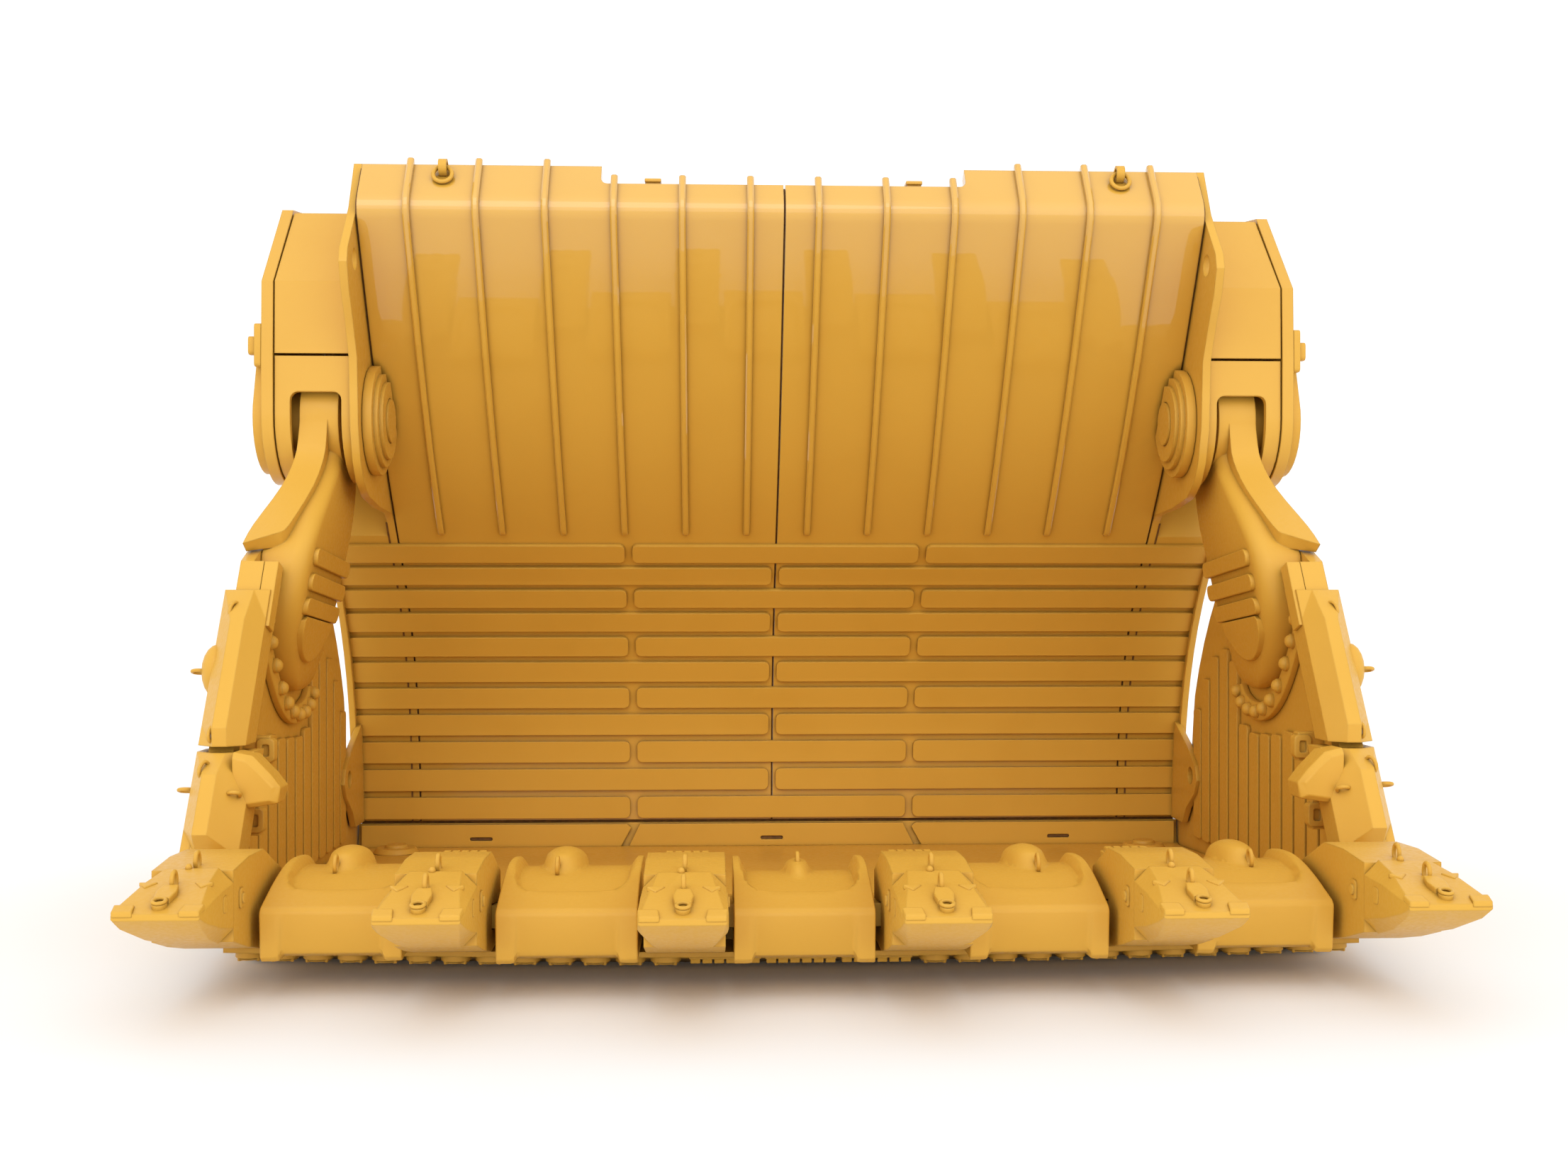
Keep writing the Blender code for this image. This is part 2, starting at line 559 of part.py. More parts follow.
def lip_sweep(x):
    return LIP_SWEEP * x * x


def lip_top(y):
    return LIP_TOP_BACK + (LIP_BACK - y) * LIP_RISE


def clam_floor():
    """Floor plate, upturned at the heel where the wall's bottom edge closes on it."""
    top = [(1.825, 0.188), (1.768, 0.188), (1.757, 0.055), (1.700, 0.045), (1.200, 0.070), (0.000, 0.165),
           (-1.050, LIP_TOP_BACK)]
    under = [(-1.050, 0.180), (0.000, 0.100), (1.200, 0.000), (1.825, 0.000)]
    return paint(flat("clam_floor", [top + under], (-FLOOR_HALF_WIDTH, FLOOR_HALF_WIDTH)), YELLOW)


def lip():
    """Cast lip across the front; its edge sweeps back towards both sides."""
    rings = []
    for i in range(-6, 7):
        x = FLOOR_HALF_WIDTH * i / 6
        front = LIP_FRONT + lip_sweep(x)
        section = [(LIP_BACK, lip_top(LIP_BACK)), (front, lip_top(front)),
                   (front, lip_top(front) - LIP_THICKNESS), (LIP_BACK, lip_top(LIP_BACK) - LIP_THICKNESS)]
        rings.append([(x, y, z) for y, z in section])
    return paint(loft("lip_plate", rings), YELLOW)


def wear_bar():
    """Full-width runner under the lip that the closed bucket stands on; its front ledge holds wear buttons."""
    section = [(-1.070, 0.150), (-1.345, 0.180), (-1.345, 0.134), (-1.590, 0.134), (-1.590, 0.112),
               (-1.330, 0.110), (-1.270, 0.040), (-1.150, 0.000), (-1.070, 0.000)]
    half_width, steps = 2.300, 6
    rings = []
    for i in range(-steps, steps + 1):
        x = half_width * i / steps
        rings.append([(x, y + lip_sweep(x), z) for y, z in section])
    return paint(loft("lip_wear_bar", rings), YELLOW)


def adapter(number, x):
    """Nose piece that straddles the lip and carries one tooth tip."""
    back = lip_sweep(x)
    slot_front = LIP_FRONT - 0.035
    upper = [(TIP_REACH + TIP_LENGTH + 0.002, 0.532), (-1.930, 0.552), (-1.720, 0.547), (-1.450, 0.430)]
    above = [(-1.450, lip_top(-1.450 + back) + 0.004), (slot_front, lip_top(slot_front + back) + 0.006)]
    below = [(slot_front, lip_top(slot_front + back) - LIP_THICKNESS - 0.006),
             (-1.500, lip_top(-1.500 + back) - LIP_THICKNESS - 0.004), (-1.500, 0.165)]
    under = [(-1.750, 0.165), (-1.960, 0.215), (TIP_REACH + TIP_LENGTH + 0.002, 0.270)]
    outline = [(y + back, z) for y, z in upper + above + below + under]
    half = TOOTH_HALF_WIDTH
    piece = flat(f"tooth_adapter_{number}", [outline], (x - half, x + half))
    nose_front = TIP_REACH + 0.240 + back
    rings = [[(x + sx * w, y, z + sz * h) for sx, sz in ((-1, -1), (1, -1), (1, 1), (-1, 1))]
             for y, z, w, h in ((nose_front, 0.420, 0.070, 0.040), (nose_front + 0.30, 0.412, 0.105, 0.085))]
    combine(piece, loft(f"nose_{number}", rings, CUTTERS), 'UNION')
    return paint(piece, YELLOW)


def tooth_tip(number, x):
    """Wedge tip with a pocket that slides over the adapter's nose."""
    start = TIP_REACH + lip_sweep(x)
    rings = []
    for reach, half, low, high in ((0.0, 0.150, 0.430, 0.453), (0.060, 0.156, 0.390, 0.475),
                                   (0.240, 0.153, 0.316, 0.520), (TIP_LENGTH, 0.150, 0.264, 0.542)):
        corner = 0.2 * (high - low)
        section = [(-half + corner, low), (half - corner, low), (half, low + corner), (half, high - corner),
                   (half - corner, high), (-half + corner, high), (-half, high - corner), (-half, low + corner)]
        rings.append([(x + u, start + reach, z) for u, z in section])
    tip = loft(f"tooth_tip_{number}", rings)
    gap = 0.004
    rings = [[(x + sx * (w + gap), y, z + sz * (h + gap)) for sx, sz in ((-1, -1), (1, -1), (1, 1), (-1, 1))]
             for y, z, w, h in ((start + 0.235, 0.420, 0.070, 0.040), (start + 0.535, 0.412, 0.105, 0.085))]
    combine(tip, loft(f"pocket_{number}", rings, CUTTERS), 'DIFFERENCE')
    return paint(tip, YELLOW)


def lip_shroud(name, x, dish):
    """Guard over the lip between two teeth; its upper face is dished across the width."""
    rings = []
    for share in (-1.0, -0.8, -0.4, 0.0, 0.4, 0.8, 1.0):
        at = x + share * SHROUD_HALF_WIDTH
        dip = dish * (1 - share * share)
        back = lip_sweep(x)
        slot = LIP_FRONT - 0.055
        upper = [(-1.130, 0.350), (-1.170, 0.440 - dip * 0.6), (-1.380, 0.462 - dip), (-1.640, 0.420 - dip),
                 (-1.850, 0.352), (-1.868, 0.335), (-1.845, 0.170), (-1.780, 0.150), (-1.400, 0.140)]
        inner = [(-1.400, lip_top(-1.400 + back) - LIP_THICKNESS - 0.004),
                 (slot, lip_top(slot + back) - LIP_THICKNESS - 0.010), (slot, lip_top(slot + back) + 0.010),
                 (-1.130, lip_top(-1.130 + back) + 0.004)]
        rings.append([(at, y + back, z) for y, z in upper + inner])
    return paint(loft(name, rings), YELLOW)


# ---------------------------------------------------------------- assembly

def hold(name, point, children):
    """An empty on a joint's axis that carries the pieces turning about it."""
    axis = bpy.data.objects.new(name, None)
    axis.empty_display_size = 0.2
    axis.location = point
    PARTS.objects.link(axis)
    bpy.context.view_layer.update()
    for child in children:
        child.parent = axis
        child.matrix_parent_inverse = axis.matrix_world.inverted()
    return axis


def build_rear(label, side):
    rear_wall(label, side)
    inner_plate(label, side)
    outer_plate(label, side)
    wing(label, side)
    upper_cover(label, side)
    lower_cover(label, side)
    pivot_pin(label, side)
    pin_guard(label, side)
    barrel_pin(label, side)
    ring_clip(label, side)
    lifting_ring(label, side)
    bracket(f"stick_bracket_{label}", side, 0.950, 0.85, 1.62, (2.080, 1.180), 0.230, 0.110)
    bracket(f"cylinder_bracket_{label}", side, 1.450, 2.30, 2.95, (1.180, 2.760), 0.190, 0.090)


def build_clam():
    pieces = [clam_floor(), lip(), wear_bar()]
    for label, side in SIDES:
        pieces += [arm(label, side), side_plate(label, side)]
        pieces.append(wing_shroud(f"wing_shroud_upper_{label}", side, 2.325, 0.120,
                                  ((1.560, 0.30), (1.430, 1.0), (0.980, 1.0), (0.900, 0.55))))
        pieces.append(wing_shroud(f"wing_shroud_lower_{label}", side, 2.285, 0.150,
                                  ((0.875, 0.45), (0.800, 1.0), (0.570, 1.0), (0.470, 0.15))))
    for number in range(1, 7):
        x = (number - 3.5) * TOOTH_PITCH
        pieces += [adapter(number, x), tooth_tip(number, x)]
    for number in range(1, 6):
        dish = 0.050 if number == 3 else 0.025
        pieces.append(lip_shroud(f"lip_shroud_{number}", (number - 3) * TOOTH_PITCH, dish))
    return pieces


def main():
    for label, side in SIDES:
        build_rear(label, side)
    hold("clam_axis", (0, *PIVOT), build_clam())
    for label, side in SIDES:
        pieces = [barrel(label, side), rod(label, side)]
        hold(f"cylinder_axis_{label}", (side * CYLINDER_X, *BARREL_PIVOT), pieces)
    for obj in list(PARTS.objects) + list(CUTTERS.objects):
        if obj.parent is None:
            obj.location.y -= ORIGIN_Y


main()
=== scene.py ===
"""Looks of the bottom-dump face-shovel bucket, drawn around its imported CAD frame.

Lengths are metres and side outlines are (y, z) pairs. They are drawn with the clam's pivot at DRAWN_PIVOT_Y,
and SHIFT then moves each piece so that it lies right for the frame's own pivot.
"""

import json
import math
from functools import cache
from typing import NamedTuple

import bmesh
import bpy
from bpy.props import FloatProperty, FloatVectorProperty, IntProperty, PointerProperty
from mathutils import Matrix, Vector


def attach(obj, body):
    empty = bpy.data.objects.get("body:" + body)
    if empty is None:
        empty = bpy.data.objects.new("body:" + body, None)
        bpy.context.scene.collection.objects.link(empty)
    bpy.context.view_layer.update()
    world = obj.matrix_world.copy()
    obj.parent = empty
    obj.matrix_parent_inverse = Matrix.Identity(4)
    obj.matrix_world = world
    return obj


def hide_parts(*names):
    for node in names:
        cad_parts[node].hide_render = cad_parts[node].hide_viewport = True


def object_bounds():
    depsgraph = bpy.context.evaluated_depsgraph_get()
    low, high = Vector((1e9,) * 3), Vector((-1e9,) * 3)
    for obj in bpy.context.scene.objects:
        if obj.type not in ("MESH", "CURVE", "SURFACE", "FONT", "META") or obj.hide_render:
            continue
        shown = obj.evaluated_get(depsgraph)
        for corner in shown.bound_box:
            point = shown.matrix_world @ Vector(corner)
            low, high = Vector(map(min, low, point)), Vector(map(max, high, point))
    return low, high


bl_info = {
    "name": "Face Shovel Bucket Looks",
    "version": (1, 0, 0),
    "blender": (4, 5, 0),
    "location": "3D View > Sidebar > Bucket",
    "description": "Adds the wear parts, trim, paint and stage of a face-shovel bucket",
    "category": "Object",
}

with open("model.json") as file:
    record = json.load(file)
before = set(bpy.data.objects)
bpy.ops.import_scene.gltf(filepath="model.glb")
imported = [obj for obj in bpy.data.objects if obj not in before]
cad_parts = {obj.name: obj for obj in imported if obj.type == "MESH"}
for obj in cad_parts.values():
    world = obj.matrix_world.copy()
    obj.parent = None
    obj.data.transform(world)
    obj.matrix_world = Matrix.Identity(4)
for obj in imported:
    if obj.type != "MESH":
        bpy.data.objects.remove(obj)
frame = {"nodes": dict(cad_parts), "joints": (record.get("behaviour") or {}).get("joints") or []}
cad_low, cad_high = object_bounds()

SIDES = (("right", 1), ("left", -1))
CLAM_JOINT = next(joint for joint in frame["joints"] if joint["name"] == "clam_opening")
DRAWN_PIVOT_Y = 0.363
SHIFT = CLAM_JOINT["pos_m"][1] - DRAWN_PIVOT_Y
SUNK = 0.002                    # how deep trim is let into the face it lies on

# Rear wall: its front line from the heel up to the rounded bend and the top edge
WALL_CURVE = [(1.760, 0.205), (1.742, 0.450), (1.695, 0.750), (1.600, 1.050), (1.450, 1.340),
              (1.240, 1.620), (0.970, 1.900), (0.645, 2.270), (0.300, 2.750), (-0.062, 3.338)]
BEND_CENTRE = (0.032, 3.395)
BEND_RADIUS = 0.110
BEND_TURN = (211.6, 144.4)      # degrees
WALL_TOP = (0.065, 3.630)
NOTCH_HALF_WIDTH = 0.890        # the top edge is lower between these
NOTCH_DROP = 0.123
RIB_COUNT = 12
RIB_FOOT = 1.860                # height where the ribs begin
PLATE_ROWS = 11
FIRST_ROW_RUN = 0.076           # distance up the wall to the lowest row's middle
PLATE_REACH = 2.422             # outer ends of the wear plates
PLATE_GAP = 0.021               # half the gap between two plates of a row
ROW_SEAMS = ((-0.810, 0.810), (0.0,))
WALL_SEAM_X = 2.055             # between the wall and the housing's inner plate
WING_SEAM_X = 2.102             # between the inner plate and the outer wall strip

# Clam
TOOTH_COUNT = 6
TOOTH_PITCH = 0.901
TOOTH_HALF_WIDTH = 0.149
TIP_REACH = -2.565              # y of a tip's edge on the middle line
LIP_SWEEP = 0.0326              # the lip's plan curve, y = sweep * x * x
LIP_BACK = -1.054
LIP_FRONT = -1.690
LIP_THICKNESS = 0.090
LIP_TOP_BACK = 0.265
LIP_RISE = 0.119
SHROUD_COUNT = 5
SHROUD_HALF_WIDTH = 0.268
SHROUD_BACK = -1.124
SIDE_TOP = (-0.500, 1.690)      # ends of the side plate's front edge
SIDE_FOOT = (-1.280, 0.420)
SIDE_PLATE_INSIDE = 2.420
WING_OUTSIDE = 2.531            # a millimetre clear of the wing shrouds and the housings
HEEL_FRONT = 1.757
ARM_INSIDE = [(1.068, 2.365), (1.150, 2.330), (1.300, 2.290), (1.500, 2.240), (1.720, 2.200),
              (1.880, 2.182), (2.050, 2.170)]      # (z, x) of the arm's slanting inner face


class BucketSizes(bpy.types.PropertyGroup):
    """Sizes of the wear parts and trim."""
    rib_width: FloatProperty(name="Rib width", description="Width of the wall's upright ribs",
                             default=0.033, min=0.01, max=0.08, unit='LENGTH')
    rib_height: FloatProperty(name="Rib height", description="How far a rib stands off the wall",
                              default=0.030, min=0.01, max=0.08, unit='LENGTH')
    rib_pitch: FloatProperty(name="Rib pitch", description="Distance between two ribs",
                             default=0.330, min=0.1, max=0.6, unit='LENGTH')
    row_pitch: FloatProperty(name="Row pitch", description="Distance between rows of wear plates",
                             default=0.1665, min=0.1, max=0.3, unit='LENGTH')
    plate_height: FloatProperty(name="Plate height", description="Height of one wear plate",
                                default=0.128, min=0.05, max=0.25, unit='LENGTH')
    plate_thickness: FloatProperty(name="Plate thickness", description="Thickness of one wear plate",
                                   default=0.022, min=0.005, max=0.05, unit='LENGTH')
    plate_corner: FloatProperty(name="Plate corner", description="Corner radius of a wear plate",
                                default=0.032, min=0.005, max=0.06, unit='LENGTH')
    loop_radius: FloatProperty(name="Loop radius", description="Radius of a cast lifting loop",
                               default=0.026, min=0.01, max=0.08, unit='LENGTH')
    loop_wire: FloatProperty(name="Loop wire", description="Half thickness of a lifting loop",
                             default=0.0085, min=0.003, max=0.03, unit='LENGTH')
    button_radius: FloatProperty(name="Button radius", description="Radius of a wear button under the lip",
                                 default=0.061, min=0.02, max=0.1, unit='LENGTH')
    ball_radius: FloatProperty(name="Ball radius", description="Radius of a ball button beside the arm",
                               default=0.031, min=0.01, max=0.06, unit='LENGTH')
    ball_count: IntProperty(name="Ball buttons", description="Ball buttons round the end of each arm",
                            default=10, min=4, max=20)
    edge: FloatProperty(name="Edge", description="Rounding of the trim's edges",
                        default=0.004, min=0.0005, max=0.02, unit='LENGTH')


class BucketColours(bpy.types.PropertyGroup):
    """Colours of the finishes."""
    paint: FloatVectorProperty(name="Paint", description="Main yellow-orange paint", subtype='COLOR',
                               size=3, min=0, max=1, default=(0.650, 0.358, 0.048))
    shade: FloatVectorProperty(name="Paint in patches", description="Slightly deeper paint",
                               subtype='COLOR', size=3, min=0, max=1, default=(0.580, 0.305, 0.034))
    # Lighter edge paint: partly paint rubbed thin, partly a painted highlight along the edges
    worn_and_highlight: FloatVectorProperty(name="Edge", description="Paint rubbed thin along the edges",
                              subtype='COLOR', size=3, min=0, max=1, default=(0.740, 0.440, 0.090))
    # Colour of the painted shade put at the bottom of holes, slots and seams
    seam: FloatVectorProperty(name="Seam", description="Dark bottom of holes and seams",
                              subtype='COLOR', size=3, min=0, max=1, default=(0.100, 0.042, 0.004))
    steel: FloatVectorProperty(name="Steel", description="Pins", subtype='COLOR', size=3, min=0, max=1,
                               default=(0.550, 0.540, 0.520))
    chrome: FloatVectorProperty(name="Chrome", description="Cylinder rods", subtype='COLOR', size=3,
                                min=0, max=1, default=(0.750, 0.750, 0.750))
    floor: FloatVectorProperty(name="Floor", description="Studio floor", subtype='COLOR', size=3,
                               min=0, max=1, default=(0.860, 0.860, 0.860))


def sizes():
    return bpy.context.scene.bucket_sizes


def colours():
    return bpy.context.scene.bucket_colours


# ---------- finishes

class Finish(NamedTuple):
    """What sets one paint finish apart from the others."""
    roughness: float
    spread: float               # how far the roughness wanders
    grain: float                # scale of the fine grain
    bump: float                 # depth of the grain
    coat: float
    wear: float                 # how much the edges are lightened, partly rubbed paint and partly a painted highlight
    contrast: float             # strength of the deeper patches


FINISHES = {
    "wall_paint": Finish(0.32, 0.03, 30, 0.0002, 0.80, 0.25, 0.20),
    "plate_paint": Finish(0.34, 0.05, 40, 0.0003, 0.08, 0.35, 0.25),
    "wear_plate_paint": Finish(0.40, 0.08, 60, 0.0004, 0.0, 0.25, 0.35),
    "cast_paint": Finish(0.42, 0.08, 60, 0.0006, 0.0, 0.35, 0.25),
    "button_paint": Finish(0.46, 0.10, 90, 0.0010, 0.0, 0.45, 0.40),
}
PATCH_SCALE = 1.7               # size of the deeper patches, as a noise scale
EDGE_BREAKUP_SCALE = 23                  # breaks up the worn and highlighted edges
EDGE_RADIUS = 0.009
CREVICE_REACH = 0.045           # painted shade darkens the paint where surfaces are nearer than this
PAINTED_SHADE_SHARE = 0.35              # brightness of the painted shade, as a share of the deeper paint
PAINT_BUMP = 0.20
PAINT_SPECULAR = 0.25
COAT_ROUGHNESS = 0.03
COAT_IOR = 1.7
MIX_SOCKETS = (0, 6, 7)         # a colour Mix node's factor and two colours


def new_node(tree, kind, **settings):
    """A node with its settings, laid out in rows of six."""
    row, column = divmod(len(tree.nodes), 6)
    node = tree.nodes.new(kind)
    node.location = (220 * column - 1600, -300 * row)
    for key, value in settings.items():
        setattr(node, key, value)
    return node


def noise(tree, source, scale, detail):
    made = new_node(tree, 'ShaderNodeTexNoise')
    made.inputs['Scale'].default_value = scale
    made.inputs['Detail'].default_value = detail
    tree.links.new(source, made.inputs['Vector'])
    return made.outputs['Fac']


def ranged(tree, source, low, high, out_low, out_high):
    made = new_node(tree, 'ShaderNodeMapRange', interpolation_type='SMOOTHSTEP')
    sockets = ('From Min', 'From Max', 'To Min', 'To Max')
    for socket, value in zip(sockets, (low, high, out_low, out_high)):
        made.inputs[socket].default_value = value
    tree.links.new(source, made.inputs['Value'])
    return made.outputs['Result']


def mixed(tree, share, first, second):
    """Mix two colours, each either plain or another node's output, by another node's share."""
    made = new_node(tree, 'ShaderNodeMix', data_type='RGBA')
    for socket, value in zip(MIX_SOCKETS, (share, first, second)):
        if isinstance(value, bpy.types.NodeSocket):
            tree.links.new(value, made.inputs[socket])
        else:
            made.inputs[socket].default_value = (*value, 1.0)
    return made.outputs[2]


def edge_mask(tree, width):
    """One along outer edges and nought on flats, and the node with the rounded normal."""
    rounded = new_node(tree, 'ShaderNodeBevel', samples=4)
    rounded.inputs['Radius'].default_value = width
    surface = new_node(tree, 'ShaderNodeNewGeometry')
    facing = new_node(tree, 'ShaderNodeVectorMath', operation='DOT_PRODUCT')
    tree.links.new(rounded.outputs['Normal'], facing.inputs[0])
    tree.links.new(surface.outputs['Normal'], facing.inputs[1])
    return ranged(tree, facing.outputs['Value'], 0.97, 0.75, 0.0, 1.0), rounded


def multiplied(tree, first, second):
    """The product of an output and either another output or a plain number."""
    made = new_node(tree, 'ShaderNodeMath', operation='MULTIPLY')
    tree.links.new(first, made.inputs[0])
    if isinstance(second, bpy.types.NodeSocket):
        tree.links.new(second, made.inputs[1])
    else:
        made.inputs[1].default_value = second
    return made.outputs[0]


def new_material(name):
    """A fresh material with its node tree, its shader and the object's own coordinates."""
    made = bpy.data.materials.new(name)
    made.use_nodes = True
    tree = made.node_tree
    place = new_node(tree, 'ShaderNodeTexCoord').outputs['Object']
    return made, tree, tree.nodes['Principled BSDF'], place


@cache
def painted(name):
    """Machine paint with faint patches, edges rubbed lighter that also serve as a painted highlight, painted
    shade in the crevices and a fine grain.
    """
    look = FINISHES[name]
    tones = colours()
    made, tree, shader, place = new_material(name)
    blotches = noise(tree, place, PATCH_SCALE, 4)
    patches = ranged(tree, blotches, 0.42, 0.72, 0.0, look.contrast)
    # The edges are lightened, partly as worn paint and partly as a painted highlight
    rubbed, rounded = edge_mask(tree, EDGE_RADIUS)
    broken = ranged(tree, noise(tree, place, EDGE_BREAKUP_SCALE, 5), 0.35, 0.65, 0.35, 1.0)
    thin = multiplied(tree, multiplied(tree, rubbed, broken), look.wear)
    # Painted shade: ambient occlusion darkens the paint in crevices and where parts meet
    crevice = new_node(tree, 'ShaderNodeAmbientOcclusion', samples=6)
    crevice.inputs['Distance'].default_value = CREVICE_REACH
    painted_shade_mix = ranged(tree, crevice.outputs['AO'], 0.25, 0.85, 0.75, 0.0)
    paint = mixed(tree, patches, tones.paint, tones.shade)
    crevice_shaded_paint = mixed(tree, painted_shade_mix, paint, tuple(PAINTED_SHADE_SHARE * c for c in tones.shade))
    tree.links.new(mixed(tree, thin, crevice_shaded_paint, tones.worn_and_highlight), shader.inputs['Base Color'])
    fine = noise(tree, place, look.grain, 6)
    gloss = ranged(tree, fine, 0.3, 0.7, look.roughness - look.spread, look.roughness + look.spread)
    tree.links.new(gloss, shader.inputs['Roughness'])
    bump = new_node(tree, 'ShaderNodeBump')
    bump.inputs['Strength'].default_value = PAINT_BUMP
    bump.inputs['Distance'].default_value = look.bump
    tree.links.new(fine, bump.inputs['Height'])
    tree.links.new(rounded.outputs['Normal'], bump.inputs['Normal'])
    tree.links.new(bump.outputs['Normal'], shader.inputs['Normal'])
    shader.inputs['Coat Weight'].default_value = look.coat
    shader.inputs['Coat Roughness'].default_value = COAT_ROUGHNESS
    shader.inputs['Coat IOR'].default_value = COAT_IOR
    shader.inputs['Specular IOR Level'].default_value = PAINT_SPECULAR
    return made


@cache
def metal(name, colour, roughness, scratch_scale):
    """Turned steel with fine scratches in its gloss."""
    made, tree, shader, place = new_material(name)
    scratches = noise(tree, place, scratch_scale, 6)
    dulled = ranged(tree, scratches, 0.35, 0.65, 0.0, 0.5)
    tone = mixed(tree, dulled, colour, tuple(0.6 * c for c in colour))
    tree.links.new(tone, shader.inputs['Base Color'])
    gloss = ranged(tree, scratches, 0.3, 0.7, roughness * 0.7, roughness * 1.4)
    tree.links.new(gloss, shader.inputs['Roughness'])
    bump = new_node(tree, 'ShaderNodeBump')
    bump.inputs['Strength'].default_value = 0.15
    bump.inputs['Distance'].default_value = 0.0005
    tree.links.new(scratches, bump.inputs['Height'])
    tree.links.new(bump.outputs['Normal'], shader.inputs['Normal'])
    shader.inputs['Metallic'].default_value = 1.0
    return made


@cache
def painted_seam_shade():
    """Unlit paint at the bottom of a slot or hole."""
    made, tree, shader, place = new_material("painted_seam_shade")
    tone = colours().seam
    painted_shade_mix = ranged(tree, noise(tree, place, 30, 4), 0.3, 0.7, 0.0, 1.0)
    tree.links.new(mixed(tree, painted_shade_mix, tone, tuple(1.8 * c for c in tone)),
                   shader.inputs['Base Color'])
    shader.inputs['Roughness'].default_value = 0.7
    return made


# ---------- drawing

def lined(points, steps=2):
    """A Catmull-Rom curve through the points, with steps pieces between neighbours."""
    padded = [points[0], *points, points[-1]]
    curve = []
    for a, b, c, d in zip(padded, padded[1:], padded[2:], padded[3:]):
        for i in range(steps):
            t = i / steps
            curve.append(tuple(0.5 * (2 * q + (r - p) * t + (2 * p - 5 * q + 4 * r - s) * t * t
                                      + (3 * q - p - 3 * r + s) * t ** 3)
                               for p, q, r, s in zip(a, b, c, d)))
    return curve + [points[-1]]


def arc(centre, radius, start, end, steps):
    """Points on a circle from one angle to another, in degrees."""
    turn = (end - start) / steps
    angles = [math.radians(start + turn * i) for i in range(steps + 1)]
    return [(centre[0] + radius * math.cos(a), centre[1] + radius * math.sin(a)) for a in angles]


def between(table, at):
    """Straight-line reading of a table of (position, value) pairs."""
    for (low, first), (high, second) in zip(table, table[1:]):
        if at <= high:
            share = (at - low) / (high - low)
            return first + max(share, 0.0) * (second - first)
    return table[-1][1]


def eased(low, high, at):
    """Nought below low, one above high, smooth between."""
    t = min(max((at - low) / (high - low), 0.0), 1.0)
    return t * t * (3 - 2 * t)


def rounded_box(width, height, radius, middle=(0, 0), steps=4):
    """Outline of a rounded rectangle."""
    points = []
    for sx, sy, start in ((1, 1, 0), (-1, 1, 90), (-1, -1, 180), (1, -1, 270)):
        centre = (middle[0] + sx * (width / 2 - radius), middle[1] + sy * (height / 2 - radius))
        points += arc(centre, radius, start, start + 90, steps)
    return points


def add_object(name, data):
    made = bpy.data.objects.new(name, data)
    bpy.context.scene.collection.objects.link(made)
    return made


def add_loft(bm, rings, closed=False):
    """Skin over rings of equal count; the ends are capped unless the rings close on themselves."""
    rows = [[bm.verts.new(point) for point in ring] for ring in rings]
    count = len(rows[0])
    pairs = list(zip(rows, rows[1:])) + ([(rows[-1], rows[0])] if closed else [])
    for row, above in pairs:
        for i in range(count):
            bm.faces.new((row[i], row[(i + 1) % count], above[(i + 1) % count], above[i]))
    if not closed:
        bm.faces.new(rows[0])
        bm.faces.new(list(reversed(rows[-1])))


def add_prism(bm, outline, low, high, along="X"):
    """A flat outline given a thickness along X, drawn in (y, z), or along Y, drawn in (x, z)."""
    rings = []
    for depth in (low, high):
        rings.append([(depth, u, v) if along == "X" else (u, depth, v) for u, v in outline])
    add_loft(bm, rings)


def add_ring(bm, centre, axis, radius, wire, stretch=1.0, up=(0, 0, 1)):
    """A round loop of wire about an axis; stretch lengthens it along up."""
    around, across = 20, 8
    axis, up = Vector(axis).normalized(), Vector(up)
    up = (up - up.dot(axis) * axis).normalized()
    other = axis.cross(up)
    rings = []
    for i in range(around):
        turn = 2 * math.pi * i / around
        out = math.cos(turn) * other + math.sin(turn) * up
        middle = Vector(centre) + radius * (math.cos(turn) * other + stretch * math.sin(turn) * up)
        rings.append([middle + wire * (math.cos(b) * out + math.sin(b) * axis)
                      for b in (2 * math.pi * k / across for k in range(across))])
    add_loft(bm, rings, closed=True)


def add_ball(bm, centre, radii):
    made = bmesh.ops.create_uvsphere(bm, u_segments=16, v_segments=10, radius=1.0)
    place = Matrix.Translation(Vector(centre)) @ Matrix.Diagonal((*radii, 1))
    bmesh.ops.transform(bm, matrix=place, verts=made["verts"])


def add_disc(bm, centre, radius, depth, axis=(0, 0, 1), turns=24, top=None):
    """A round boss along an axis; top is its far radius where it tapers."""
    made = bmesh.ops.create_cone(bm, cap_ends=True, segments=turns, radius1=radius,
                                 radius2=radius if top is None else top, depth=depth)
    turn = Vector((0, 0, 1)).rotation_difference(Vector(axis)).to_matrix().to_4x4()
    turn.translation = Vector(centre)
    bmesh.ops.transform(bm, matrix=turn, verts=made["verts"])


def piece(name, bm, body, finish, smooth=35, edge=None):
    """Make drawn geometry an object on its CAD body, shaded, rounded and painted."""
    bmesh.ops.recalc_face_normals(bm, faces=bm.faces)
    bmesh.ops.translate(bm, vec=(0, SHIFT, 0), verts=bm.verts)
    mesh = bpy.data.meshes.new(name)
    bm.to_mesh(mesh)
    bm.free()
    if not mesh.polygons:
        raise RuntimeError(f"{name} has no faces")
    obj = add_object(name, mesh)
    mesh.polygons.foreach_set("use_smooth", [True] * len(mesh.polygons))
    mesh.set_sharp_from_angle(angle=math.radians(smooth))
    width = sizes().edge if edge is None else edge
    if width:
        rounding = obj.modifiers.new("rounded edges", 'BEVEL')
        rounding.width = width
        rounding.segments = 2
        rounding.limit_method = 'ANGLE'
        rounding.angle_limit = math.radians(40)
        rounding.harden_normals = True
    mesh.materials.append(painted(finish) if finish in FINISHES else painted_seam_shade())
    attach(obj, body)
    return obj


